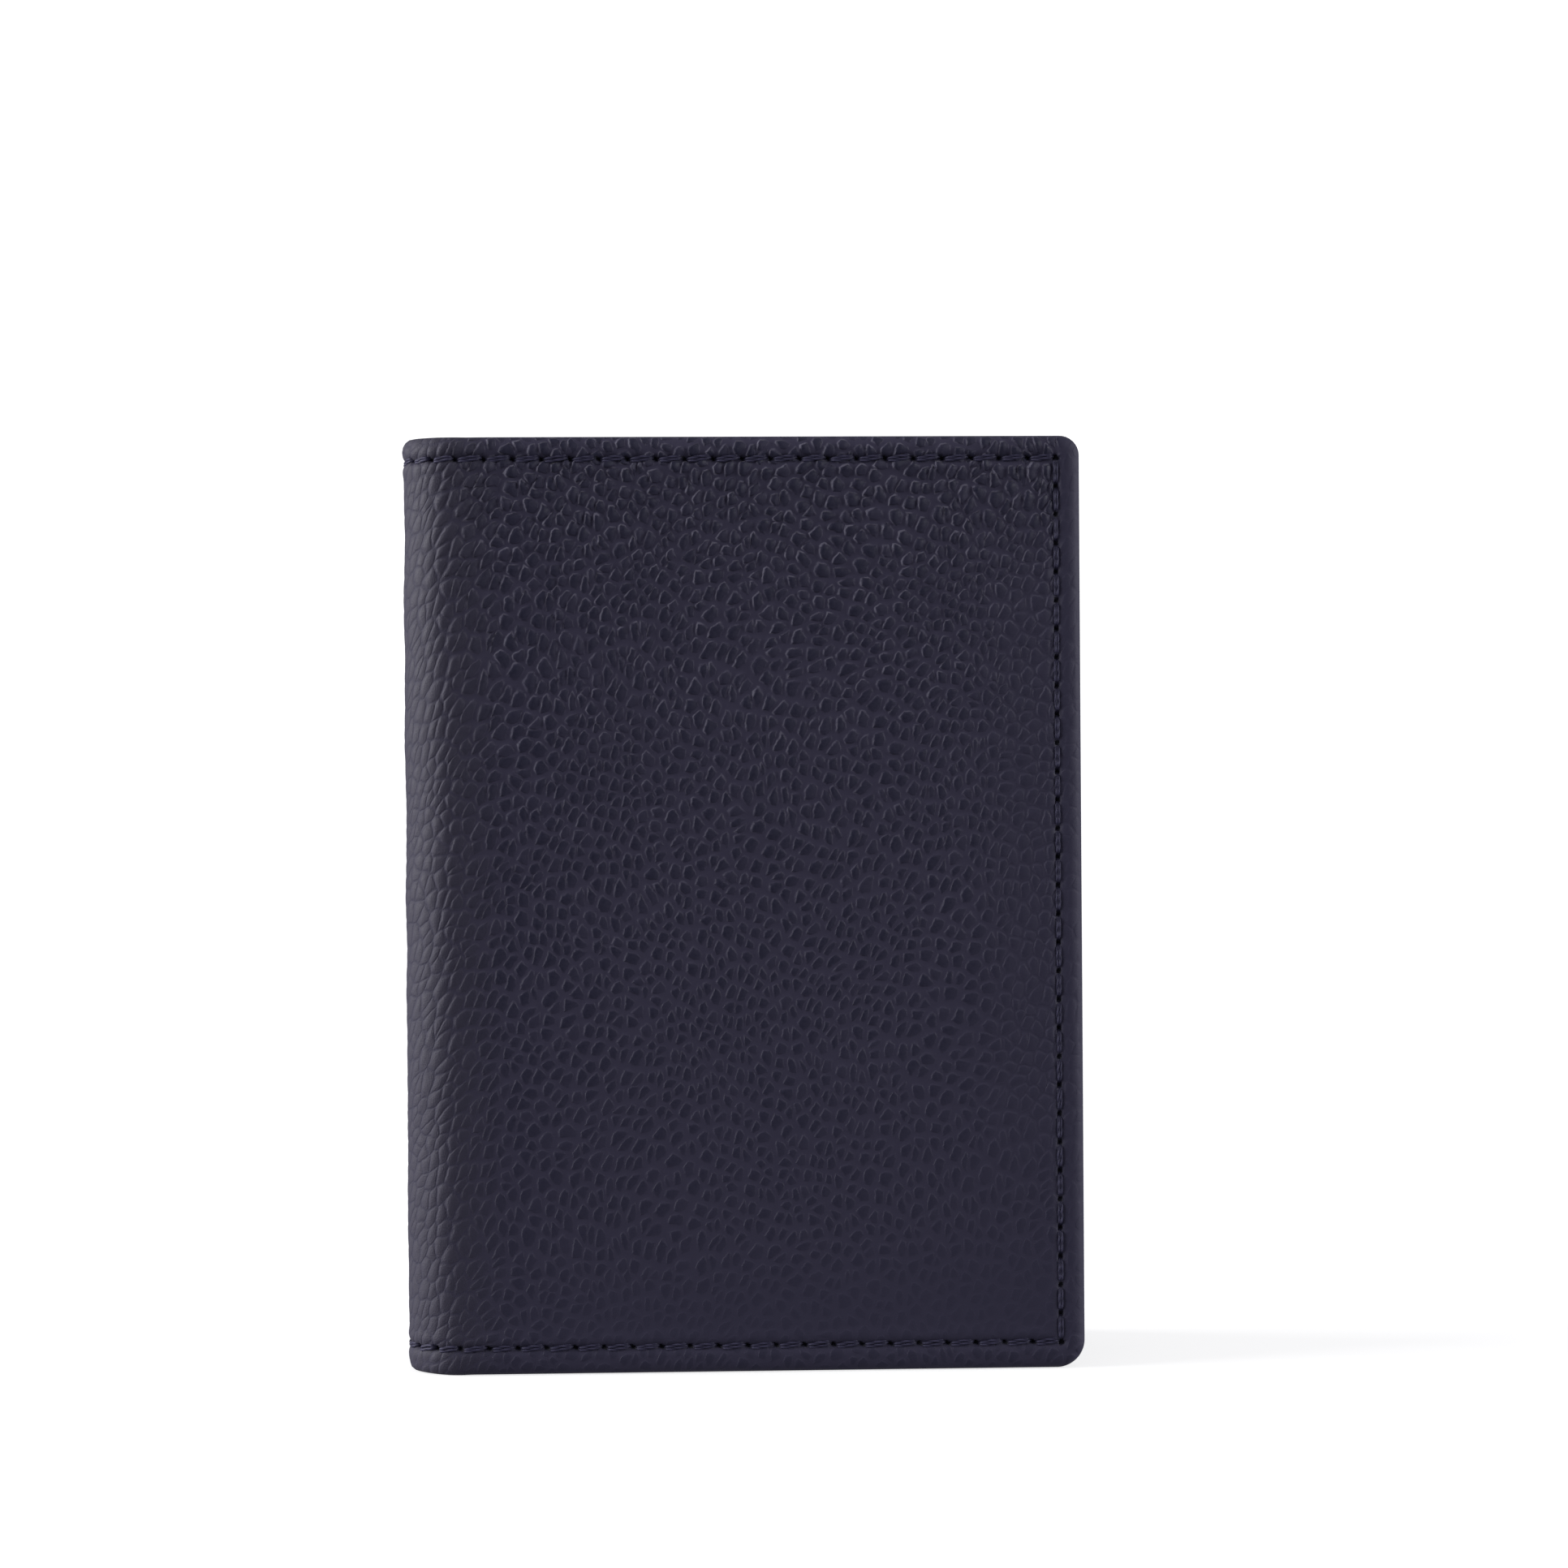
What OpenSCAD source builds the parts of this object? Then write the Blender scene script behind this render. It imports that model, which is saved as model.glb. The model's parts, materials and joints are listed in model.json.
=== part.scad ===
// Folding card holder: two leather covers joined by a soft leather spine.
// It stands upright and a little ajar. +Z is up along the fold, the spine is at -X, and the front cover is at -Y.
// Every part of a cover is drawn as if the holder were shut, with the bend's centre at X = 0, and then placed.
// Depths are counted inwards from a cover's outer face.

/* [Holder] */
// Height of the covers, along the fold
cover_h = 104; // [100:1:112]
// Width of the shut holder, from the outside of the spine to the free edges
closed_w = 75; // [72:1:82]
// Thickness of the shut holder, which is the outside width of the spine
closed_t = 11; // [10.8:0.1:13]
// Angle between the two covers as the holder stands
ajar_angle = 14; // [6:1:40]
// Radius of each cover's free corner at the top
top_corner_r = 2.2; // [1.2:0.1:5]
// Radius of each cover's free corner at the bottom
bottom_corner_r = 3.1; // [1.2:0.1:5]

/* [Leather and board] */
// Thickness of the outer leather
leather_t = 1.2; // [1:0.1:1.3]
// Thickness of the outer leather where it is pared thin and turned over the edge
turned_t = 0.6; // [0.5:0.1:0.7]
// Width of the turned edge
turned_w = 9; // [7:0.5:11]
// Thickness of the stiffener's pared rim, under the turned edge
rim_t = 0.4; // [0.3:0.1:0.5]
// Thickness of the lining
lining_t = 0.4; // [0.3:0.1:0.5]
// Thickness of the reinforcement in the spine
reinforcement_t = 0.6; // [0.4:0.1:0.6]

/* [Pockets] */
// Distance from the bend to the mouth of the slip pocket
slip_mouth_x = 7; // [4:0.5:8]
// Distance from the bend to the mouth of the rear card slot
rear_mouth_x = 13; // [11:0.5:14]
// Step from each card slot's mouth to the next
mouth_step = 7; // [6.5:0.5:8]
// Width of a card strip, which runs on under the next strip
strip_w = 13; // [11.5:0.5:13]
// Thickness of the pocket leather
pocket_t = 0.6; // [0.5:0.05:0.6]
// Thickness of the cloth stem that forms the hidden part of a slot
stem_t = 0.2; // [0.1:0.05:0.2]
// Distance from the bend to the foot of the rear slot's stem
rear_foot_x = 57; // [56:0.5:58]
// Distance from the bend to the foot of the middle slot's stem
middle_foot_x = 62; // [61:0.5:63]
// Height of a stem, for a card that is 85.6 tall
stem_h = 89; // [88:0.5:92]

/* [Stitching] */
// Length of one stitch and its hole, along the seam
stitch_pitch = 3.2; // [2.8:0.1:3.8]
// Length of thread that shows in one stitch
stitch_len = 2.5; // [2:0.1:2.7]
// Radius of the thread
thread_r = 0.24; // [0.15:0.01:0.26]
// Distance from the free edge to the seam
side_margin = 2.7; // [2:0.1:3.5]
// Distance from the top edge to the seam
top_margin = 2.5; // [2:0.1:3.5]
// Distance from the bottom edge to the seam
bottom_margin = 3; // [2:0.1:3.5]
// Depth of the groove that the thread lies in
groove_depth = 0.5; // [0.46:0.02:0.6]
// Width of the groove
groove_w = 0.9; // [0.7:0.1:1.2]

/* [Hidden] */

navy = [0.13, 0.13, 0.19];
soft_navy = [0.17, 0.17, 0.25];
cloth_navy = [0.10, 0.10, 0.15];
thread_blue = [0.14, 0.14, 0.29];
grey_board = [0.45, 0.43, 0.40];
salpa_brown = [0.38, 0.29, 0.22];

half_t = closed_t / 2;
half_angle = ajar_angle / 2;
leaf_w = closed_w - half_t;
end = 0.01;

// Each cover turns about a line in the bend, at the middle of its own eighth of a turn. With the line
// a quarter of pi times the leather's mid radius from the bend's centre both ways, the spine and the
// two covers lie in one plane at 180 degrees, and the leather is then as long as it was in the bend.
leather_mid_r = half_t - leather_t / 2;
fold_x = -PI / 4 * leather_mid_r;
fold_y = PI / 4 * leather_mid_r;

// Angles in the bend, from the middle of the spine: the spine's half ends and a cover's part begins
spine_half_angle = 40;
leaf_bend_angle = 50;
spine_stitch_angle = 18;
leaf_stitch_angle = 72;
bend_step = 10;
corner_steps = 6;

// Depths at which the layers of a cover begin
rim_depth = leather_t;
turned_depth = rim_depth + rim_t;
lining_depth = turned_depth + turned_t;
slip_depth = lining_depth + lining_t;
slot_depth = slip_depth + pocket_t;

// How far the parts stay back from the cover's edges, and the shorter runs between layers
wall_w = 1;
lining_inset = 0.9;
pocket_inset = 0.8;
board_x = 2.5;
flat_x = 1.5;
ramp = 0.9;
stem_z = (cover_h - stem_h) / 2;

// Radii of the spine's layers
reinforcement_r = half_t - leather_t;
spine_lining_r = reinforcement_r - reinforcement_t;

middle_mouth_x = rear_mouth_x + mouth_step;
front_mouth_x = middle_mouth_x + mouth_step;
rear_strip_end = rear_mouth_x + strip_w;
middle_strip_end = middle_mouth_x + strip_w;
pocket_end = leaf_w - pocket_inset;
first_drop = rear_strip_end + end;
second_drop = middle_strip_end + end;
third_drop = middle_foot_x + end;

// The holder is centred on its own box as it stands: the widest points are the turned edge's inner
// corner at the free end and the outside of the spine
reach_x = fold_x + (leaf_w - fold_x) * cos(half_angle) + (lining_depth - half_t + fold_y) * sin(half_angle);
centre_x = -(reach_x - half_t) / 2;

// Points along the bend at radius r, from angle a0 to a1, counted from the middle of the spine.
// Both are whole numbers of steps, so layers that lie on each other share their corners.
function bend(r, a0, a1) = [
    for (a = [a0 : a1 > a0 ? bend_step : -bend_step : a1])
        [-r * cos(a), -r * sin(a)]
];

// Points round a corner of radius r about the point c, from angle a0 through a quarter turn
function corner(c, r, a0) = [
    for (i = [0 : corner_steps])
        let (a = a0 + 90 * i / corner_steps)
        [c.x + r * cos(a), c.y + r * sin(a)]
];

// Outline of a cover in X and Z, from x0 to the free end, held back from its other three edges
function outline(x0, inset) =
    let (
        low_r = max(bottom_corner_r - inset, 0.3),
        high_r = max(top_corner_r - inset, 0.3),
        x1 = leaf_w - inset,
        z0 = inset,
        z1 = cover_h - inset
    )
    concat(
        [[x0, z0]],
        corner([x1 - low_r, z0 + low_r], low_r, -90),
        corner([x1 - high_r, z1 - high_r], high_r, 0),
        [[x0, z1]]
    );

// Section of a sheet of thickness t in X and depth, whose outer side runs through the given points
function sheet(points, t) = concat(
    [for (p = points) [p.x, p.y - half_t]],
    [for (i = [len(points) - 1 : -1 : 0]) [points[i].x, points[i].y + t - half_t]]
);

rear_strip_line = [[rear_mouth_x, slot_depth], [rear_strip_end, slot_depth]];

middle_strip_line = [
    [middle_mouth_x, slot_depth + pocket_t],
    [first_drop, slot_depth + pocket_t],
    [first_drop + ramp, slot_depth + stem_t],
    [middle_strip_end, slot_depth + stem_t]
];

card_pocket_line = [
    [front_mouth_x, slot_depth + stem_t + pocket_t],
    [second_drop, slot_depth + stem_t + pocket_t],
    [second_drop + ramp, slot_depth + 2 * stem_t],
    [third_drop, slot_depth + 2 * stem_t],
    [third_drop + ramp, slot_depth],
    [pocket_end, slot_depth]
];

// Depth of a cover's inner surface, step by step from the bend to the free end
function inner_depth(x) = lookup(x, [
    [slip_mouth_x - end, slip_depth],
    [slip_mouth_x, slot_depth],
    [rear_mouth_x - end, slot_depth],
    [rear_mouth_x, slot_depth + pocket_t],
    [middle_mouth_x - end, slot_depth + pocket_t],
    [middle_mouth_x, slot_depth + 2 * pocket_t],
    [first_drop, slot_depth + 2 * pocket_t],
    [front_mouth_x, slot_depth + stem_t + 2 * pocket_t],
    [second_drop, slot_depth + stem_t + 2 * pocket_t],
    [second_drop + ramp, slot_depth + 2 * stem_t + pocket_t],
    [third_drop, slot_depth + 2 * stem_t + pocket_t],
    [third_drop + ramp, slot_depth + pocket_t]
]);

// Places a front part, drawn shut, as the holder stands
module front() {
    translate([centre_x + fold_x, -fold_y, 0])
        rotate([0, 0, -half_angle])
            translate([-fold_x, fold_y, 0])
                children();
}

// Places a back part, which is the mirror image of a front part
module back() {
    mirror([0, 1, 0])
        front()
            children();
}

// Places a spine part, which keeps its place as the covers open a little each way
module spine() {
    translate([centre_x, 0, 0])
        children();
}

// A flat layer of a cover between two depths, from an outline in X and Z
module layer(from, to) {
    translate([0, to - half_t, 0])
        rotate([90, 0, 0])
            linear_extrude(to - from)
                children();
}

// A sheet that follows its section all the way up the cover, cut to the cover's outline
module full_height_sheet(section, x0, inset) {
    intersection() {
        linear_extrude(cover_h)
            polygon(section);
        layer(-1, half_t + 1)
            polygon(outline(x0, inset));
    }
}

// Groove for one row of stitches, from the spine's side to the seam's corner
module row_groove(z) {
    translate([0, 0, z - groove_w / 2])
        linear_extrude(groove_w)
            polygon(concat(
                bend(half_t + 1, leaf_bend_angle - bend_step, 90),
                [[leaf_w - side_margin + groove_w / 2, -half_t - 1]],
                [[leaf_w - side_margin + groove_w / 2, -half_t + groove_depth]],
                bend(half_t - groove_depth, 90, leaf_bend_angle - bend_step)
            ));
}

// Groove for the stitches along the free edge
module side_groove() {
    layer(-1, groove_depth)
        translate([leaf_w - side_margin - groove_w / 2, bottom_margin - groove_w / 2])
            square([groove_w, cover_h - top_margin - bottom_margin + groove_w]);
}

// Outer leather of one cover, with its share of the bend
module cover_leather_shape() {
    section = concat(
        bend(half_t, leaf_bend_angle, 90),
        [[leaf_w, -half_t], [leaf_w, leather_t - half_t]],
        bend(half_t - leather_t, 90, leaf_bend_angle)
    );
    difference() {
        full_height_sheet(section, -half_t, 0);
        row_groove(bottom_margin);
        row_groove(cover_h - top_margin);
        side_groove();
    }
}

// The outer leather's own edge, pared thin and turned over the stiffener on three sides
module turned_edge_shape() {
    layer(turned_depth, lining_depth)
        difference() {
            polygon(outline(flat_x, 0));
            polygon(outline(flat_x - 1, turned_w));
        }
    layer(rim_depth, turned_depth)
        difference() {
            polygon(outline(flat_x, 0));
            polygon(outline(flat_x - 1, wall_w));
        }
}

// Stiffener board, full thickness in the middle and pared under the turned edge
module stiffener_shape() {
    layer(rim_depth, turned_depth)
        polygon(outline(board_x, wall_w));
    layer(turned_depth, lining_depth)
        polygon(outline(board_x, turned_w));
}

// Lining of one cover, with its share of the bend
module lining_shape() {
    section = concat(
        bend(spine_lining_r, leaf_bend_angle, 90),
        [[flat_x, lining_depth - half_t], [leaf_w, lining_depth - half_t]],
        [[leaf_w, slip_depth - half_t], [flat_x, slip_depth - half_t]],
        bend(spine_lining_r - lining_t, 90, leaf_bend_angle)
    );
    full_height_sheet(section, -half_t, lining_inset);
}

// Panel that the card slots are sewn to; the slip pocket is behind it and opens towards the bend
module slip_pocket_shape() {
    layer(slip_depth, slot_depth)
        polygon(outline(slip_mouth_x, pocket_inset));
}

module rear_card_strip_shape() full_height_sheet(sheet(rear_strip_line, pocket_t), rear_mouth_x, pocket_inset);

module middle_card_strip_shape() full_height_sheet(sheet(middle_strip_line, pocket_t), middle_mouth_x, pocket_inset);

// Foremost card slot: its leather runs on to the free edge
module card_pocket_shape() full_height_sheet(sheet(card_pocket_line, pocket_t), front_mouth_x, pocket_inset);

// Cloth stem that carries on a card strip down to the foot of its slot
module stem_shape(from_x, to_x, depth) {
    layer(depth, depth + stem_t)
        translate([from_x, stem_z])
            square([to_x - from_x, stem_h]);
}

// One stitch along Z on a flat layer, lying on the given depth
module upright_stitch(x, z, depth, side) {
    translate([x, depth - half_t + side * thread_r * cos(30), z - stitch_len / 2])
        cylinder(h = stitch_len, r = thread_r, $fn = 6);
}

// One stitch along X on a flat layer, lying on the given depth
module level_stitch(x, z, depth, side) {
    translate([x - stitch_len / 2, depth - half_t + side * thread_r * cos(30), z])
        rotate([0, 90, 0])
            cylinder(h = stitch_len, r = thread_r, $fn = 6);
}

// One stitch in the groove round the bend, at an angle from the middle of the spine
module bend_stitch(angle, z) {
    rotate([0, 0, angle])
        translate([-(half_t - groove_depth + thread_r * cos(30)), 0, z])
            rotate([90, 0, 0])
                rotate([0, 0, 30])
                    cylinder(h = stitch_len, r = thread_r, center = true, $fn = 6);
}

// All the stitches of one cover: on its outer face in the groove, and on its inner face
module stitching_shape() {
    row_run = leaf_w - side_margin;
    side_run = cover_h - top_margin - bottom_margin;
    row_count = round(row_run / stitch_pitch);
    side_count = round(side_run / stitch_pitch);
    row_pitch = row_run / row_count;
    side_pitch = side_run / side_count;
    half = stitch_len / 2;
    for (z = [bottom_margin, cover_h - top_margin]) {
        bend_stitch(leaf_stitch_angle, z);
        for (i = [0 : row_count - 1]) {
            x = (i + 0.5) * row_pitch;
            level_stitch(x, z, groove_depth, -1);
            if (x > flat_x + half)
                level_stitch(x, z, max([for (at = [x - half, x, x + half]) inner_depth(at)]), 1);
        }
    }
    for (i = [0 : side_count - 1]) {
        z = bottom_margin + (i + 0.5) * side_pitch;
        upright_stitch(row_run, z, groove_depth, -1);
        upright_stitch(row_run, z, inner_depth(row_run), 1);
    }
}

// A layer of the spine between two radii, over an angle each way from its middle
module spine_layer(outer_r, inner_r, half_arc, z0, z1) {
    translate([0, 0, z0])
        linear_extrude(z1 - z0)
            polygon(concat(
                bend(outer_r, -half_arc, half_arc),
                bend(inner_r, half_arc, -half_arc)
            ));
}

module spine_leather() {
    color(navy) spine() difference() {
        spine_layer(half_t, half_t - leather_t, spine_half_angle, 0, cover_h);
        for (z = [bottom_margin, cover_h - top_margin])
            translate([0, 0, z - groove_w / 2])
                spine_layer(half_t + 1, half_t - groove_depth, spine_half_angle + bend_step, 0, groove_w);
    }
}

// The spine's share of the turned edge, at the top and the bottom
module spine_turned_edges() {
    color(navy) spine() {
        spine_layer(reinforcement_r, spine_lining_r, spine_half_angle, 0, turned_w);
        spine_layer(reinforcement_r, spine_lining_r, spine_half_angle, cover_h - turned_w, cover_h);
    }
}

// Strip of bonded leather that keeps the spine's shape, between the turned edges
module spine_reinforcement() {
    color(salpa_brown) spine()
        spine_layer(reinforcement_r, spine_lining_r, spine_half_angle, turned_w, cover_h - turned_w);
}

module spine_lining() {
    color(soft_navy) spine()
        spine_layer(spine_lining_r, spine_lining_r - lining_t, spine_half_angle, lining_inset, cover_h - lining_inset);
}

module spine_stitching() {
    color(thread_blue) spine()
        for (z = [bottom_margin, cover_h - top_margin], side = [-1, 1])
            bend_stitch(side * spine_stitch_angle, z);
}

module back_cover_leather() color(navy) back() cover_leather_shape();

module back_turned_edge() color(navy) back() turned_edge_shape();

module back_stiffener() color(grey_board) back() stiffener_shape();

module back_lining() color(soft_navy) back() lining_shape();

module back_slip_pocket() color(navy) back() slip_pocket_shape();

module back_rear_card_strip() color(navy) back() rear_card_strip_shape();

module back_middle_card_strip() color(navy) back() middle_card_strip_shape();

module back_card_pocket() color(navy) back() card_pocket_shape();

module back_rear_stem() color(cloth_navy) back() stem_shape(rear_strip_end, rear_foot_x, slot_depth);

module back_middle_stem() color(cloth_navy) back() stem_shape(middle_strip_end, middle_foot_x, slot_depth + stem_t);

module back_stitching() color(thread_blue) back() stitching_shape();

module front_cover_leather() color(navy) front() cover_leather_shape();

module front_turned_edge() color(navy) front() turned_edge_shape();

module front_stiffener() color(grey_board) front() stiffener_shape();

module front_lining() color(soft_navy) front() lining_shape();

module front_slip_pocket() color(navy) front() slip_pocket_shape();

module front_rear_card_strip() color(navy) front() rear_card_strip_shape();

module front_middle_card_strip() color(navy) front() middle_card_strip_shape();

module front_card_pocket() color(navy) front() card_pocket_shape();

module front_rear_stem() color(cloth_navy) front() stem_shape(rear_strip_end, rear_foot_x, slot_depth);

module front_middle_stem() color(cloth_navy) front() stem_shape(middle_strip_end, middle_foot_x, slot_depth + stem_t);

module front_stitching() color(thread_blue) front() stitching_shape();

back_cover_leather();
back_turned_edge();
back_stiffener();
back_lining();
back_slip_pocket();
back_rear_card_strip();
back_middle_card_strip();
back_card_pocket();
back_rear_stem();
back_middle_stem();
back_stitching();
spine_leather();
spine_turned_edges();
spine_reinforcement();
spine_lining();
spine_stitching();
front_cover_leather();
front_turned_edge();
front_stiffener();
front_lining();
front_slip_pocket();
front_rear_card_strip();
front_middle_card_strip();
front_card_pocket();
front_rear_stem();
front_middle_stem();
front_stitching();
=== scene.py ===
import json
import math
from collections import namedtuple

import bmesh
import bpy
import numpy as np
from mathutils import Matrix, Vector


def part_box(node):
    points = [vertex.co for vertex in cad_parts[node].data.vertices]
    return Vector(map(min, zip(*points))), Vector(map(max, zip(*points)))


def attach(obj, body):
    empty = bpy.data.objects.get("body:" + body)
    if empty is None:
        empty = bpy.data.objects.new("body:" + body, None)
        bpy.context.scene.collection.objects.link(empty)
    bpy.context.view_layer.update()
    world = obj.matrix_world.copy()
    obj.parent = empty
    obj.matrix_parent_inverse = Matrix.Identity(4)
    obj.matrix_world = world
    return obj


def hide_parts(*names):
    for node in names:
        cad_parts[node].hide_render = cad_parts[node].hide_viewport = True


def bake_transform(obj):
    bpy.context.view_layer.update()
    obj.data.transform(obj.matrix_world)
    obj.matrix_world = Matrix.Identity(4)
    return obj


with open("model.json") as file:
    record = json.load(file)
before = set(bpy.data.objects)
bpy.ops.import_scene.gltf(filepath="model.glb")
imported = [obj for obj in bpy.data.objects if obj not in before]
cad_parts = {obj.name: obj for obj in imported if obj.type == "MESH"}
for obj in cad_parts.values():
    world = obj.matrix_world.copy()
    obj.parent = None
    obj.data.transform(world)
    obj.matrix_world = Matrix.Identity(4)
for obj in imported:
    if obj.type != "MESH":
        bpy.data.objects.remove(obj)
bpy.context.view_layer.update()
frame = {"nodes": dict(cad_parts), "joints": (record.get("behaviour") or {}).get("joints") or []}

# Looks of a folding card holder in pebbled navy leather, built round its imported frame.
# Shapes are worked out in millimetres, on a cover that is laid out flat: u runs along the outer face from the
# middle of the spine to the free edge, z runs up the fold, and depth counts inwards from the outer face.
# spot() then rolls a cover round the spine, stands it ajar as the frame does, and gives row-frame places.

# ------------------------ sizes, in millimetres

MM = 0.001
COVERS = ("front", "back")

fold_joint = next(j for j in frame["joints"] if j["name"] == "front_fold")
spine_low, spine_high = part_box("spine_leather")
FOLD = abs(fold_joint["pos_m"][1]) / MM
CENTRE_X = fold_joint["pos_m"][0] / MM + FOLD
AJAR = math.radians(-fold_joint["range_deg"][0])
HEIGHT = spine_high.z / MM
OUT_R = CENTRE_X - spine_low.x / MM
LEATHER_T = 2 * (OUT_R - 4 * FOLD / math.pi)
BEND_LEN = OUT_R * math.pi / 2

LEAF_W = 69.5
END_U = BEND_LEN + LEAF_W
CORNER_R = (3.1, 2.2)

# Thicknesses, the turned edge's width, and how deep each layer's outer side lies under the skin's face
RIM_T = 0.4
TURNED_T = 0.6
TURNED_W = 9.0
LINING_T = 0.4
POCKET_T = 0.6
STEM_T = 0.2
LINING_DEPTH = LEATHER_T + RIM_T + TURNED_T
SLIP_DEPTH = LINING_DEPTH + LINING_T
SLOT_DEPTH = SLIP_DEPTH + POCKET_T
BEND_SHELL_T = LEATHER_T + TURNED_T

# Inside, x is measured from the end of the bend: the pockets' mouths, the strips' widths and the slots' feet.
# A sheet falls over RAMP off a strip and rises over twice MOUTH_RAMP at a mouth. Insets are from the edge.
SLIP_X = 7.0
REAR_X = 13.0
MIDDLE_X = 20.0
POCKET_X = 27.0
STRIP_W = 13.0
REAR_FOOT_X = 57.0
MIDDLE_FOOT_X = 62.0
RAMP = 0.9
MOUTH_RAMP = 0.1
LINING_INSET = 0.9
POCKET_INSET = 0.8

# The seam: two rows, each with BEND_COUNT stitches round its half of the spine and ROW_COUNT on the flat, and
# SIDE_COUNT stitches along the free edge
SEAM_X = 66.8
LOW_SEAM_Z = 3.0
HIGH_SEAM_Z = 101.5
ROW_COUNT = 21
SIDE_COUNT = 31
ROW_PITCH = SEAM_X / ROW_COUNT
SIDE_PITCH = (HIGH_SEAM_Z - LOW_SEAM_Z) / SIDE_COUNT
BEND_COUNT = 3
BEND_PITCH = BEND_LEN / BEND_COUNT
PLY_PITCH = 1.1
WEAVE_PITCH = 0.35

# Half sizes of the needle holes: a row's along and across its slant, the side's along x and z, and the inner
# side's along and across the seam
HOLE_SLANT = math.radians(-30)
ROW_HOLE = (0.38, 0.17)
SIDE_HOLE = (0.25, 0.28)
INNER_HOLE = (0.26, 0.18)
SIDE_HOLE_SHIFT = -0.06

# The grain's cells: size along and across their slant, the slant in degrees, and the noises that bend it
# (scale in 1/mm, reach in mm)
GRAIN_CELL = (1.80, 1.37)
GRAIN_SLANT = 68.0
GRAIN_DRIFTS = ((0.04, 7.0), (0.35, 0.9), (1.5, 0.26))
FINE_CELL = (0.95, 0.8)
FINE_SLANT = 55.0
FINE_DRIFTS = ((0.32, 0.7),)

# Heights and depths of what is worked into the skin, and the half width of its groove
GRAIN_H = 0.17
PILLOW_H = 0.08
PUFF_H = 0.07
SWAY_H = 0.5
GROOVE_H = 0.26
GROOVE_W = 0.40
HOLE_H = 0.6

# The skin's mesh: how far its edge rolls out, the grain's radius there, and steps near the seam and elsewhere
SKIN_EDGE = 1.2
ROLL_R = 1.1
FINE_STEP = ROW_PITCH / 18
PLAIN_STEP = 0.33
SEAM_STEPS = 6
NEAR_SEAM = SEAM_STEPS * FINE_STEP
BEND_STEPS = 36
ROLL_ROWS = 8

# Each skin runs two such steps past the middle of the spine and dips a little further under at each
OVERLAP_STEP = BEND_PITCH / 8
OVERLAP_DIP = 0.012

# The inner sheets' mesh, and the heights and depths of what is worked into them
INNER_EDGE = 0.28
INNER_STEP = 0.8
INNER_FINE_U = 0.14
INNER_FINE_Z = 0.16
WAVE_H = 0.1
MOUTH_BULGE_H = 0.05
MOUTH_CREASE_H = 0.09
MOUTH_GAPE_H = 0.22
INNER_GROOVE_H = 0.16
INNER_HOLE_H = 0.3
RIPPLE_H = 0.02

# How far along z each cover's inside lies from the middle of the pattern
PATTERN_SHIFT = 200

# A stitch is two strands that start and end a little inside its holes and dive into them. STRAND_TWIST is a
# share of a strand's radius, SIDE_GAP of the gap in the rows, and STITCH_DEPTH of the groove's depth.
STRAND_R = 0.165
STRAND_TWIST = 0.13
STRAND_GAP = 0.1
STRAND_BELLY = 0.07
SIDE_GAP = 0.8
STITCH_INSET = 0.08
ROW_LEAN = 0.44
SIDE_SHIFT = 0.05
STITCH_JITTER = 0.02
STITCH_DEPTH = 0.54
OUTER_SINK = 0.5
INNER_SINK = 0.42
RINGS = 15
SIDES = 8
STITCH_SEED = 11

# An edge of the mesh this sharp, in degrees, stays sharp in the shading
SHARP = 65

# The levels, 0 to 1, that stay in place where the grain's height and its darkness fade
GRAIN_LEVEL = 0.5
DARK_LEVEL = 0.3

# The islands' colours: painted shade and painted dark reflection make them darker than the channels
ISLAND_COLOUR = (0.0075, 0.0080, 0.0290, 1)
ISLAND_COLOUR_2 = (0.0095, 0.0092, 0.0320, 1)
CHANNEL_COLOUR = (0.0385, 0.0340, 0.0680, 1)
CHANNEL_COLOUR_2 = (0.0425, 0.0378, 0.0735, 1)
# Painted highlight along the upper left of the islands' rims
RIM_HIGHLIGHT_COLOUR = (0.1350, 0.1280, 0.1800, 1)
PILLOW_COLOUR = (0.0430, 0.0385, 0.0730, 1)
# Painted shade in the creases between the pillows
CREASE_SHADE_COLOUR = (0.0220, 0.0200, 0.0450, 1)
# Painted highlight on the pillows where the leather rolls round the spine
FOLD_HIGHLIGHT_COLOUR = (0.0430, 0.0390, 0.0600, 1)
# Painted shade, near black, in the needle holes and faintly along the seam's groove
HOLE_SHADE_COLOUR = (0.0120, 0.0115, 0.0210, 1)
POCKET_COLOUR = (0.0290, 0.0265, 0.0560, 1)
POCKET_COLOUR_2 = (0.0340, 0.0315, 0.0630, 1)
LINING_COLOUR = (0.0360, 0.0335, 0.0710, 1)
LINING_COLOUR_2 = (0.0430, 0.0405, 0.0810, 1)
THREAD_COLOUR = (0.0480, 0.0440, 0.0900, 1)
# Painted shade in the hollow between the thread's plies
THREAD_PLY_SHADE = (0.0170, 0.0150, 0.0410, 1)
THREAD_LIGHT = (0.0780, 0.0730, 0.1400, 1)
CLOTH_COLOUR = (0.0200, 0.0200, 0.0330, 1)
# Painted shade in the hollows of the weave
CLOTH_WEAVE_SHADE = (0.0090, 0.0090, 0.0150, 1)
BOARD_COLOUR = (0.44, 0.41, 0.37, 1)
BOARD_DARK = (0.33, 0.31, 0.28, 1)
BOARD_SPECK = (0.18, 0.17, 0.16, 1)
SALPA_COLOUR = (0.32, 0.22, 0.14, 1)
SALPA_DARK = (0.20, 0.12, 0.075, 1)
FLOOR_COLOUR = (0.60, 0.60, 0.60, 1)
FLOOR_COLOUR_2 = (0.62, 0.62, 0.62, 1)
FLOOR_GLOW = 0.66
WORLD_COLOUR = (0.25, 0.25, 0.27, 1)

# The studio, in metres and degrees
FLOOR_R = 0.65
COVE_R = 0.35
WALL_H = 1.4
FLOOR_SIDES = 96

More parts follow.
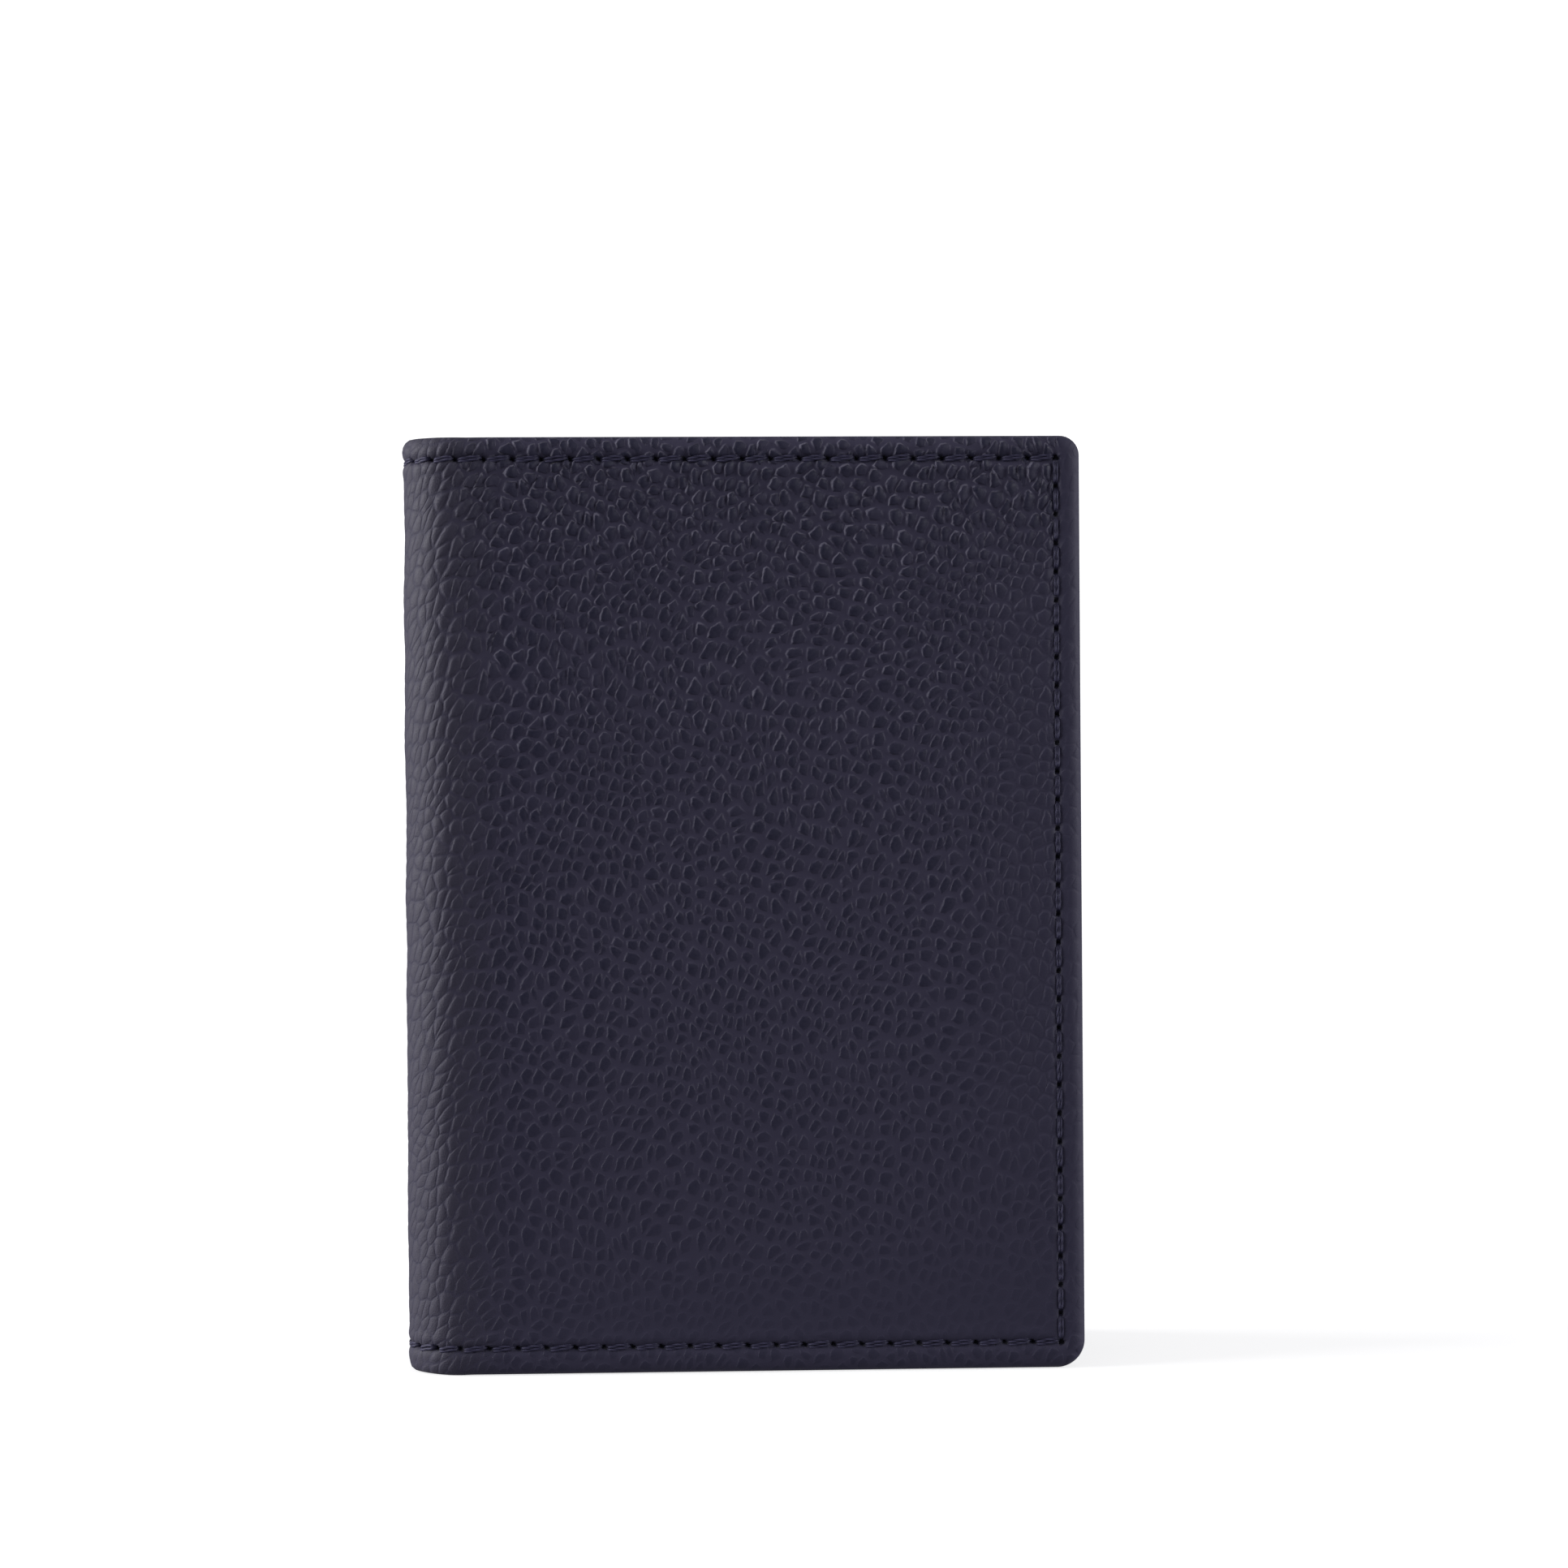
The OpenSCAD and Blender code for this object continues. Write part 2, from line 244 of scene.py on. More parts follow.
# Each lamp's place, size and power in watts. They stand outside the cyclorama, which casts no shadow.
LAMPS = {
    "key_left": ((-1.24, 0.10, 0.40), (0.9, 0.78), 22),
    "fill_right": ((1.24, -0.40, 0.42), (0.8, 0.8), 13.5),
    "overhead": ((0.0, 0.1, 1.6), (1.6, 1.6), 0.5),
}
LAMP_AIM = (0, 0, 0.052)

SENSOR_W = 36
LENS = 81
CAMERA_PLACE = (-0.0593, -0.3969, 0.0653)
CAMERA_TURN = (90, 0.38, -9.3)


# ------------------------ places on a cover

def smooth(value, low, high):
    """0 below low, 1 above high and a soft step between them. With low above high it falls instead."""
    t = np.clip((np.asarray(value, float) - low) / (high - low), 0, 1)
    return t * t * (3 - 2 * t)


def spot(cover, u, z, depth):
    """Row-frame places, in millimetres, of points on a cover as the holder stands."""
    u, z, depth = np.broadcast_arrays(*(np.asarray(v, float) for v in (u, z, depth)))
    angle = np.minimum(u / OUT_R, math.pi / 2)
    r = OUT_R - depth
    x = -r * np.cos(angle) + np.maximum(u - BEND_LEN, 0)
    y = -r * np.sin(angle)
    t = np.clip((1 - np.cos(angle) + np.sin(angle)) / 2, 0, 1)
    turn = AJAR * t * t * (3 - 2 * t)
    dx, dy = x + FOLD, y + FOLD
    place_x = CENTRE_X - FOLD + np.cos(turn) * dx + np.sin(turn) * dy
    place_y = -FOLD - np.sin(turn) * dx + np.cos(turn) * dy
    if cover == "back":
        place_y = -place_y
    return np.stack([place_x, place_y, z], axis=-1)


def hole_us():
    """The needle holes of a row, counted along u from the middle of the spine to the seam's corner."""
    over_bend = [i * BEND_PITCH for i in range(BEND_COUNT)]
    return over_bend + [BEND_LEN + i * ROW_PITCH for i in range(ROW_COUNT + 1)]


def hole_zs():
    return [LOW_SEAM_Z + i * SIDE_PITCH for i in range(SIDE_COUNT + 1)]


def inner_depth(x):
    """Depth of the inner surface that shows, from the bend to the free end, with its steps softened."""
    depth = SLIP_DEPTH
    for mouth, step in ((SLIP_X, POCKET_T), (REAR_X, POCKET_T), (MIDDLE_X, POCKET_T), (POCKET_X, STEM_T)):
        depth = depth + step * smooth(x, mouth - MOUTH_RAMP, mouth + MOUTH_RAMP)
    drop = STRIP_W + MIDDLE_X
    depth = depth - (POCKET_T - STEM_T) * smooth(x, drop, drop + RAMP)
    return depth - 2 * STEM_T * smooth(x, MIDDLE_FOOT_X, MIDDLE_FOOT_X + RAMP)


# ------------------------ node trees written as expressions

class Nodes:
    """Adds nodes to a shader or geometry tree. Both kinds take the same maths and textures."""

    def __init__(self, tree):
        self.tree = tree

    def add(self, kind, inputs=(), **settings):
        node = self.tree.nodes.new(kind)
        for name, value in settings.items():
            setattr(node, name, value)
        for key, value in dict(inputs).items():
            self.feed(node.inputs[key], value)
        return node

    def feed(self, socket, value):
        """Links a socket to another one, or sets its value."""
        if isinstance(value, bpy.types.NodeSocket):
            self.tree.links.new(value, socket)
        else:
            socket.default_value = value

    def math(self, operation, a, b=0.0):
        return self.add("ShaderNodeMath", {0: a, 1: b}, operation=operation).outputs[0]

    def vector(self, operation, a, b):
        return self.add("ShaderNodeVectorMath", {0: a, 1: b}, operation=operation).outputs[0]

    def times(self, a, b):
        return self.math("MULTIPLY", a, b)

    def plus(self, a, b):
        return self.math("ADD", a, b)

    def step(self, value, low, high, start=0.0, end=1.0):
        inputs = {"Value": value, "From Min": low, "From Max": high, "To Min": start, "To Max": end}
        return self.add("ShaderNodeMapRange", inputs, interpolation_type="SMOOTHSTEP").outputs[0]

    def between(self, share, a, b):
        """a where share is 0, b where it is 1."""
        inputs = {"Value": share, "From Min": 0.0, "From Max": 1.0, "To Min": a, "To Max": b}
        return self.add("ShaderNodeMapRange", inputs).outputs[0]

    def noise(self, place, scale, detail=2.0, output=0):
        inputs = {"Vector": place, "Scale": scale, "Detail": detail}
        return self.add("ShaderNodeTexNoise", inputs, noise_dimensions="3D").outputs[output]

    def cells(self, place, feature, output="Distance"):
        inputs = {"Vector": place, "Scale": 1.0, "Randomness": 0.78}
        node = self.add("ShaderNodeTexVoronoi", inputs, voronoi_dimensions="2D", feature=feature)
        return node.outputs[output]

    def dot(self, a, b):
        return self.add("ShaderNodeVectorMath", {0: a, 1: b}, operation="DOT_PRODUCT").outputs["Value"]

    def mix(self, share, a, b):
        node = self.add("ShaderNodeMix", data_type="RGBA")
        for name, value in (("Factor", share), ("A", a), ("B", b)):
            self.feed([s for s in node.inputs if s.name == name and s.enabled][0], value)
        return [s for s in node.outputs if s.enabled][0]


def slanted(n, place, slant, cell, drifts):
    """place turned and scaled so that one cell of the given size, along and across the slant, is one unit.
    Drifts are (scale, reach) pairs of noise that bend the pattern, in 1/mm and mm."""
    moved = place
    for scale, reach in drifts:
        shift = n.vector("SUBTRACT", n.noise(place, scale, 1.0, output=1), (0.5, 0.5, 0.5))
        moved = n.vector("ADD", moved, n.vector("MULTIPLY", shift, (reach, reach, 0.0)))
    inputs = {"Vector": moved, "Angle": -math.radians(slant)}
    turned = n.add("ShaderNodeVectorRotate", inputs, rotation_type="Z_AXIS").outputs[0]
    return n.vector("MULTIPLY", turned, (1 / cell[0], 1 / cell[1], 1.0))


Pebbles = namedtuple("Pebbles", "island lean rim pillow darkness")


def pebbles(n, place):
    """The skin's grain: the islands (0 in the channels, 1 on an island), their lean (higher towards the upper
    left of each), their rims, the pillows that the same cells swell into where the leather rolls over the
    fold, and how dark each island is, which is painted shade, varied at random from island to island."""
    u = n.math("ABSOLUTE", n.dot(place, (1.0, 0.0, 0.0)))
    # Towards the fold the grain is sheared along z, so that it stands steeper
    sheared = n.times(n.math("MINIMUM", n.plus(u, -13.0), 0.0), -0.55)
    shear = n.add("ShaderNodeCombineXYZ", {1: sheared}).outputs[0]
    cell = slanted(n, n.vector("ADD", place, shear), GRAIN_SLANT, GRAIN_CELL, GRAIN_DRIFTS)
    edge = n.cells(cell, "DISTANCE_TO_EDGE")
    reach = n.cells(cell, "F1")
    local = n.vector("SUBTRACT", cell, n.cells(cell, "F1", "Position"))
    lean = n.dot(local, (0.22, 0.97, 0.0))
    random = n.cells(cell, "F1", "Color")
    chance, chance_2 = n.dot(random, (1.0, 0.0, 0.0)), n.dot(random, (0.0, 1.0, 0.0))
    # The channels are wider in the middle of the cover, and in patches
    middle = n.times(n.step(u, 16.0, 36.0), n.step(u, 76.0, 58.0))
    gap = n.plus(n.between(middle, -0.02, 0.02), n.step(n.noise(place, 0.55), 0.35, 0.65, -0.02, 0.04))
    rounded = n.math("SUBTRACT", edge, n.times(n.math("MAXIMUM", n.plus(reach, -0.2), 0.0), 0.4))
    rounded = n.math("SUBTRACT", rounded, gap)
    island = n.step(rounded, -0.01, 0.14)
    # A rim runs along the upper left of an island, broken here and there; it stands a little raised and
    # carries a painted highlight
    rim = n.times(n.step(rounded, -0.09, 0.0), n.step(rounded, 0.11, 0.02))
    rim = n.times(rim, n.step(lean, -0.05, 0.3))
    rim = n.times(rim, n.step(n.noise(place, 0.8), 0.32, 0.58))
    rim = n.times(rim, n.step(chance_2, 0.1, 0.9, 0.3, 1.25))
    dome = n.step(reach, 0.75, 0.0)
    pillow = n.plus(n.step(edge, 0.0, 0.15, 0.0, 0.5), n.times(dome, 0.5))
    # Painted shade: an island is darkest just inside its lit upper-left rim, and more or less dark at random
    darkness = n.times(n.step(rounded, -0.02, 0.2), n.step(lean, -0.55, 0.2, 0.62, 1.0))
    darkness = n.times(darkness, n.step(chance, 0.0, 0.5, 0.6, 1.0))
    return Pebbles(island, lean, rim, pillow, darkness)


def needle_holes(n, place):
    """1 in a needle hole and 0 away from it. A row's holes slant down to the right; the side's are square."""
    u = n.math("ABSOLUTE", n.dot(place, (1.0, 0.0, 0.0)))
    z = n.dot(place, (0.0, 1.0, 0.0))
    x = n.plus(u, -BEND_LEN)

    def nearest(value, pitch):
        return n.math("SUBTRACT", value, n.times(n.math("ROUND", n.times(value, 1 / pitch)), pitch))

    on_flat = n.math("GREATER_THAN", x, 0.0)
    along = n.between(on_flat, nearest(u, BEND_PITCH), nearest(x, ROW_PITCH))
    cos, sin = math.cos(HOLE_SLANT), math.sin(HOLE_SLANT)
    found = None
    for row in (LOW_SEAM_Z, HIGH_SEAM_Z):
        off = n.plus(z, -row)
        a = n.times(n.plus(n.times(along, cos), n.times(off, sin)), 1 / ROW_HOLE[0])
        b = n.times(n.math("SUBTRACT", n.times(off, cos), n.times(along, sin)), 1 / ROW_HOLE[1])
        near = n.step(n.plus(n.times(a, a), n.times(b, b)), 1.25, 0.7)
        near = n.times(near, n.math("LESS_THAN", x, SEAM_X + 1.0))
        found = near if found is None else n.math("MAXIMUM", found, near)
    up = n.times(n.math("ABSOLUTE", nearest(n.plus(z, -LOW_SEAM_Z), SIDE_PITCH)), 1 / SIDE_HOLE[1])
    across = n.times(n.math("ABSOLUTE", n.plus(x, -SIDE_HOLE_SHIFT - SEAM_X)), 1 / SIDE_HOLE[0])
    side = n.step(n.math("MAXIMUM", up, across), 1.1, 0.8)
    side = n.times(side, n.math("GREATER_THAN", z, LOW_SEAM_Z - 0.5))
    side = n.times(side, n.math("LESS_THAN", z, HIGH_SEAM_Z + 0.5))
    return n.math("MAXIMUM", found, side)


def flat_height(n, shapes):
    """The grain's height on the flat: leaning islands with a raised rim."""
    islands = n.times(shapes.island, n.step(shapes.lean, -0.45, 0.45, 0.3, 0.9))
    return n.plus(islands, n.times(shapes.rim, 0.1))


def pillow_height(n, shapes):
    """The grain's height where its cells swell into pillows."""
    return n.times(shapes.pillow, n.step(shapes.lean, -0.5, 0.5, 0.7, 1.0))


def fine_grain(n, place):
    """The finer grain of the pocket leather."""
    cell = slanted(n, place, FINE_SLANT, FINE_CELL, FINE_DRIFTS)
    edge = n.cells(cell, "DISTANCE_TO_EDGE")
    return n.step(edge, 0.02, 0.26)


def sampled(field, places):
    """A field's values at an array of places. Geometry nodes work them out, so mesh and material match."""
    mesh = bpy.data.meshes.new("samples")
    mesh.vertices.add(len(places))
    mesh.vertices.foreach_set("co", np.asarray(places, np.float32).ravel())
    holder = bpy.data.objects.new("samples", mesh)
    bpy.context.scene.collection.objects.link(holder)
    tree = bpy.data.node_groups.new("samples", "GeometryNodeTree")
    for way in ("INPUT", "OUTPUT"):
        tree.interface.new_socket("Geometry", in_out=way, socket_type="NodeSocketGeometry")
    n = Nodes(tree)
    value = field(n, n.add("GeometryNodeInputPosition").outputs[0])
    source, result = n.add("NodeGroupInput"), n.add("NodeGroupOutput")
    store = n.add("GeometryNodeStoreNamedAttribute", {"Name": "value"}, data_type="FLOAT", domain="POINT")
    tree.links.new(source.outputs[0], store.inputs["Geometry"])
    tree.links.new(value, [s for s in store.inputs if s.name == "Value" and s.enabled][0])
    tree.links.new(store.outputs[0], result.inputs[0])
    holder.modifiers.new("samples", "NODES").node_group = tree
    evaluated = holder.evaluated_get(bpy.context.evaluated_depsgraph_get())
    values = np.zeros(len(places), np.float32)
    evaluated.data.attributes["value"].data.foreach_get("value", values)
    bpy.data.objects.remove(holder)
    bpy.data.meshes.remove(mesh)
    bpy.data.node_groups.remove(tree)
    return values.astype(float)


# ------------------------ sheets with rounded edges

def lines(stops, steps):
    """Grid lines between stops, with the number of even steps that each stretch takes."""
    parts = [np.linspace(a, b, count, endpoint=False) for a, b, count in zip(stops, stops[1:], steps)]
    return np.concatenate(parts + [[stops[-1]]])


class Sheet:
    """A closed sheet laid out flat. A grid is the face that shows, rows wrap round its edges, and long
    strips close the hidden side. Each point has u, z, its share of the way round the edge from 0 on the face
    to 1 on the hidden side, and which way is out in the plane. Rows are (out, share): how far a row lies
    outside the grid's edge, or inside it if negative. A sheet with an open left side ends at the spine."""

    def __init__(self, us, zs, corners, rows, left=True):
        self.us, self.zs, self.left = np.asarray(us), np.asarray(zs), left
        u, z = np.meshgrid(self.us, self.zs, indexing="ij")
        out_u, out_z = np.zeros_like(u), np.zeros_like(z)
        out_z[:, 0], out_z[:, -1], out_u[-1, :] = -1, 1, 1
        if left:
            out_u[0, :] = -1
        for r, edge, way in zip(corners, (zs[0], zs[-1]), (-1, 1)):
            centre_u, centre_z = us[-1] - r, edge - way * r
            a, b = (u - centre_u) / r, way * (z - centre_z) / r
            near = (a > 0) & (b > 0)
            a, b = np.where(near, a, 0), np.where(near, b, 0)
            round_u, round_z = a * np.sqrt(1 - b * b / 2), b * np.sqrt(1 - a * a / 2)
            u = np.where(near, centre_u + r * round_u, u)
            z = np.where(near, centre_z + way * r * round_z, z)
            out_u, out_z = np.where(near, round_u, out_u), np.where(near, way * round_z, out_z)
        count = u.size
        index = np.arange(count).reshape(u.shape)
        ring = [index[:-1, 0], index[-1, :-1], index[:0:-1, -1]]
        ring.append(index[0, :0:-1] if left else index[:1, -1])
        self.ring = np.concatenate(ring)
        ring_u, ring_z = u.ravel()[self.ring], z.ravel()[self.ring]
        way_u, way_z = out_u.ravel()[self.ring], out_z.ravel()[self.ring]
        length = np.hypot(way_u, way_z)
        way_u, way_z = way_u / length, way_z / length
        all_u, all_z, share = [u.ravel()], [z.ravel()], [np.zeros(count)]
        ways_u, ways_z = [np.zeros(count)], [np.zeros(count)]
        rings = [self.ring]
        for out, part in rows:
            row_u, row_z = ring_u + way_u * max(out, 0), ring_z + way_z * max(out, 0)
            row_u = np.minimum(row_u, us[-1] + out)
            row_z = np.clip(row_z, zs[0] - out, zs[-1] + out)
            if left:
                row_u = np.maximum(row_u, us[0] - out)
            rings.append(sum(len(part_u) for part_u in all_u) + np.arange(len(self.ring)))
            all_u.append(row_u)
            all_z.append(row_z)
            share.append(np.full(len(row_u), float(part)))
            ways_u.append(way_u)
            ways_z.append(way_z)
        self.u, self.z, self.share = (np.concatenate(v) for v in (all_u, all_z, share))
        self.way_u, self.way_z = np.concatenate(ways_u), np.concatenate(ways_z)
        self.on_face = np.arange(len(self.u)) < count
        self.faces = self._faces(index, rings)

    def _faces(self, index, rings):
        grid = [index[:-1, :-1], index[1:, :-1], index[1:, 1:], index[:-1, 1:]]
        quads = [np.stack(grid, -1).reshape(-1, 4)]
        for inner, outer in zip(rings, rings[1:]):
            a, b = (np.append(r, r[0]) if self.left else r for r in (inner, outer))
            quads.append(np.stack([a[:-1], b[:-1], b[1:], a[1:]], -1))
        faces = [tuple(q) for q in np.concatenate(quads).tolist()]
        last, wide, tall = rings[-1], len(self.us), len(self.zs)
        top_right = wide + tall - 2
        top_left = top_right + wide - 1
        low, high = last[:wide], last[top_right:top_left + 1][::-1]
        right = last[wide - 1:top_right + 1][::-1]
        left = last[top_left:][::-1] if self.left else last[top_left:top_left + 1]
        strips = [[low[0], *left, high[1], low[1]]]
        strips += [[low[i], high[i], high[i + 1], low[i + 1]] for i in range(1, wide - 2)]
        strips.append([low[-2], high[-2], *right])
        faces += [tuple(int(v) for v in strip) for strip in strips]
        if not self.left:
            left_low = [int(r[0]) for r in rings[1:]]
            left_high = [int(r[-1]) for r in rings[1:]]
            faces.append(tuple([int(v) for v in index[0]] + left_high + left_low[::-1]))
        return faces


def make_mesh(name, places, faces, vectors, material, sharp=None):
    """A piece from places in millimetres, with named vectors stored on its points for its material."""
    mesh = bpy.data.meshes.new(name)
    mesh.from_pydata((np.asarray(places) * MM).tolist(), [], faces)
    for key, values in vectors.items():
        layer = mesh.attributes.new(key, "FLOAT_VECTOR", "POINT")
        layer.data.foreach_set("vector", np.asarray(values, np.float32).ravel())
    tidy_mesh(mesh)
    mesh.shade_smooth()
    if sharp:
        mesh.set_sharp_from_angle(angle=math.radians(sharp))
    mesh.materials.append(material)
    piece = bpy.data.objects.new(name, mesh)
    bpy.context.scene.collection.objects.link(piece)
    return piece


def tidy_mesh(mesh):
    """Joins points that fell together at mitred corners, and turns every face outwards."""
    work = bmesh.new()
    work.from_mesh(mesh)
    bmesh.ops.remove_doubles(work, verts=work.verts, dist=1e-7)
    bmesh.ops.recalc_face_normals(work, faces=work.faces)
    work.to_mesh(mesh)
    work.free()


def edge_rows(out, count, past=()):
    """Rows round an edge: a half oval that stands `out` beyond the grid, then any rows past it."""
    turns = [math.pi * i / count for i in range(1, count + 1)]
    return [(out * math.sin(a), (1 - math.cos(a)) / 2) for a in turns] + list(past)


# ------------------------ materials

def material(name, build):
    """A material whose tree is written by build(n, shader), where the shader is its Principled node."""
    made = bpy.data.materials.new(name)
    made.use_nodes = True
    made.node_tree.nodes.clear()
    n = Nodes(made.node_tree)
    shader = n.add("ShaderNodeBsdfPrincipled")
    output = n.add("ShaderNodeOutputMaterial")
    made.node_tree.links.new(shader.outputs[0], output.inputs["Surface"])
    build(n, shader)
    return made


def stored(n, key):
    return n.add("ShaderNodeAttribute", attribute_name=key, attribute_type="GEOMETRY").outputs["Vector"]


def dress(n, shader, colour, roughness, height, depth):
    """Links a shader to its colour, roughness, and bump of `depth` millimetres."""
    n.tree.links.new(colour, shader.inputs["Base Color"])
    n.tree.links.new(roughness, shader.inputs["Roughness"])
    bump = n.add("ShaderNodeBump", {"Strength": 1.0, "Distance": depth * MM, "Height": height})
    n.tree.links.new(bump.outputs[0], shader.inputs["Normal"])


def skin_look(n, shader):
    place = stored(n, "place")
    masks = n.add("ShaderNodeSeparateXYZ", {0: stored(n, "masks")})
    relief, swell, groove = masks.outputs
    hole = needle_holes(n, place)
    shapes = pebbles(n, place)
    fold = n.step(n.math("ABSOLUTE", n.dot(place, (1.0, 0.0, 0.0))), BEND_LEN + 7.0, BEND_LEN - 4.0)
    flat = n.plus(n.times(n.plus(flat_height(n, shapes), -GRAIN_LEVEL), relief), GRAIN_LEVEL)
    grain = n.between(swell, flat, n.times(pillow_height(n, shapes), 0.75))
    pores = n.noise(place, 7.0, 3.0)
    mottle = n.noise(place, 2.6, 3.0)
    cloudy = n.noise(place, 0.06, 2.0)
    # Painted shade and painted dark reflection on the islands, mottled and varied at random
    dark = n.times(shapes.darkness, n.step(mottle, 0.3, 0.6, 1.0, 0.78))
    dark = n.plus(n.times(n.plus(dark, -DARK_LEVEL), n.math("MINIMUM", relief, 1.0)), DARK_LEVEL)
    raised = n.mix(cloudy, ISLAND_COLOUR, ISLAND_COLOUR_2)
    low = n.mix(cloudy, CHANNEL_COLOUR, CHANNEL_COLOUR_2)
    colour = n.mix(dark, low, raised)
    # Painted highlight along the rims, stronger where the grain is deeper and faint on the pillows
    rim_highlight = n.times(n.times(shapes.rim, n.math("POWER", relief, 3.0)), n.between(swell, 0.19, 0.05))
    rim_highlight = n.times(rim_highlight, n.step(pores, 0.35, 0.6, 0.6, 1.1))
    colour = n.mix(rim_highlight, colour, RIM_HIGHLIGHT_COLOUR)
    # The pillows' creases get painted shade
    swollen = n.mix(n.step(shapes.pillow, 0.1, 0.8), CREASE_SHADE_COLOUR, PILLOW_COLOUR)
    colour = n.mix(n.times(swell, 0.8), colour, swollen)
    # Painted highlight on the pillows round the spine
    colour = n.mix(n.times(fold, n.step(shapes.pillow, 0.1, 0.6, 0.2, 0.75)), colour, FOLD_HIGHLIGHT_COLOUR)
    colour = n.mix(n.step(pores, 0.35, 0.75, 0.0, 0.16), colour, CHANNEL_COLOUR)
    # Painted shade along the seam's groove beside the thread, and near-black painted shade in the needle
    # holes
    colour = n.mix(n.times(groove, 0.15), colour, HOLE_SHADE_COLOUR)
    colour = n.mix(hole, colour, HOLE_SHADE_COLOUR)
    roughness = n.plus(n.step(dark, 0.3, 0.9, 0.62, 0.52), n.step(pores, 0.3, 0.8, 0.0, 0.08))
    height = n.plus(grain, n.times(pores, n.between(fold, 0.16, 0.5)))
    dress(n, shader, colour, roughness, n.math("SUBTRACT", height, hole), 0.12)
    shader.inputs["Specular IOR Level"].default_value = 0.32
    shader.inputs["Sheen Weight"].default_value = 0.04
    shader.inputs["Sheen Roughness"].default_value = 0.5


def pocket_look(n, shader):
    place = stored(n, "place")
    grain = fine_grain(n, place)
    pores = n.noise(place, 8.0, 3.0)
    cloudy = n.noise(place, 0.08, 2.0)
    raised = n.mix(cloudy, POCKET_COLOUR, POCKET_COLOUR_2)
    colour = n.mix(n.step(grain, 0.1, 0.8), PILLOW_COLOUR, raised)
    roughness = n.plus(n.step(grain, 0.2, 0.9, 0.6, 0.48), n.step(pores, 0.3, 0.8, 0.0, 0.06))
    dress(n, shader, colour, roughness, n.plus(grain, n.times(pores, 0.3)), 0.05)
    shader.inputs["Specular IOR Level"].default_value = 0.2


def lining_look(n, shader):
    place = stored(n, "place")
    pores = n.noise(place, 5.0, 4.0)
    nap = n.noise(n.vector("MULTIPLY", place, (2.0, 0.4, 1.0)), 1.6, 3.0)
    cloudy = n.noise(place, 0.12, 3.0)
    colour = n.mix(n.step(cloudy, 0.3, 0.7), LINING_COLOUR, LINING_COLOUR_2)
    colour = n.mix(n.step(pores, 0.55, 0.8, 0.0, 0.35), colour, CHANNEL_COLOUR)
    roughness = n.step(pores, 0.3, 0.7, 0.7, 0.82)
    dress(n, shader, colour, roughness, n.plus(pores, n.times(nap, 0.6)), 0.05)
    shader.inputs["Specular IOR Level"].default_value = 0.12
    shader.inputs["Sheen Weight"].default_value = 0.03


def thread_look(n, shader):
    """Two plies run round a strand, and fine fibres run along them. place is (along, round, random)."""
    place = n.add("ShaderNodeSeparateXYZ", {0: stored(n, "place")})
    along, around, chance = place.outputs
    phase = n.plus(n.times(along, 2 * math.pi / PLY_PITCH), n.times(around, 2.0))
    ply = n.math("SINE", phase)
    stretched = n.add("ShaderNodeCombineXYZ", {0: n.plus(along, phase), 1: n.times(around, 3.0), 2: chance})
    fibres = n.noise(stretched.outputs[0], 2.4, 3.0)
    # The hollow between the plies gets painted shade
    colour = n.mix(n.step(ply, -0.9, 0.7), THREAD_PLY_SHADE, THREAD_COLOUR)
    colour = n.mix(n.step(fibres, 0.5, 0.8, 0.0, 0.35), colour, THREAD_LIGHT)
    roughness = n.step(fibres, 0.3, 0.7, 0.5, 0.66)
    dress(n, shader, colour, roughness, n.plus(ply, n.times(fibres, 0.5)), 0.02)
    shader.inputs["Specular IOR Level"].default_value = 0.3
    shader.inputs["Sheen Weight"].default_value = 0.03


def cloth_look(n, shader):
    """A plain weave: warp and weft threads that pass over and under each other."""
    place = n.add("ShaderNodeSeparateXYZ", {0: stored(n, "place")})
    over = [n.math("SINE", n.times(place.outputs[i], math.pi / WEAVE_PITCH)) for i in (0, 1)]
    crossing = n.times(over[0], over[1])
    weave = n.plus(n.times(n.math("ABSOLUTE", over[0]), 0.5), n.times(n.math("ABSOLUTE", over[1]), 0.5))
    height = n.plus(weave, n.times(crossing, 0.3))
    slub = n.noise(stored(n, "place"), 1.5, 3.0)
    # Painted shade where the weave dips
    colour = n.mix(n.step(height, 0.1, 0.9), CLOTH_WEAVE_SHADE, CLOTH_COLOUR)
    colour = n.mix(n.step(slub, 0.45, 0.75, 0.0, 0.3), colour, CHANNEL_COLOUR)
    dress(n, shader, colour, n.step(slub, 0.3, 0.7, 0.8, 0.92), height, 0.05)
    shader.inputs["Sheen Weight"].default_value = 0.2


def in_millimetres(n):
    """A carried-over node's own places, in millimetres."""
    place = n.add("ShaderNodeTexCoord").outputs["Object"]
    return n.vector("MULTIPLY", place, (1 / MM, 1 / MM, 1 / MM))


def board_look(n, shader):
    place = in_millimetres(n)
    fibres = n.noise(n.vector("MULTIPLY", place, (0.5, 4.0, 2.5)), 1.2, 4.0)
    specks = n.noise(place, 2.5, 2.0)
    colour = n.mix(n.step(fibres, 0.3, 0.7), BOARD_DARK, BOARD_COLOUR)
    colour = n.mix(n.step(specks, 0.66, 0.72, 0.0, 0.6), colour, BOARD_SPECK)
    dress(n, shader, colour, n.step(fibres, 0.3, 0.7, 0.8, 0.92), fibres, 0.06)


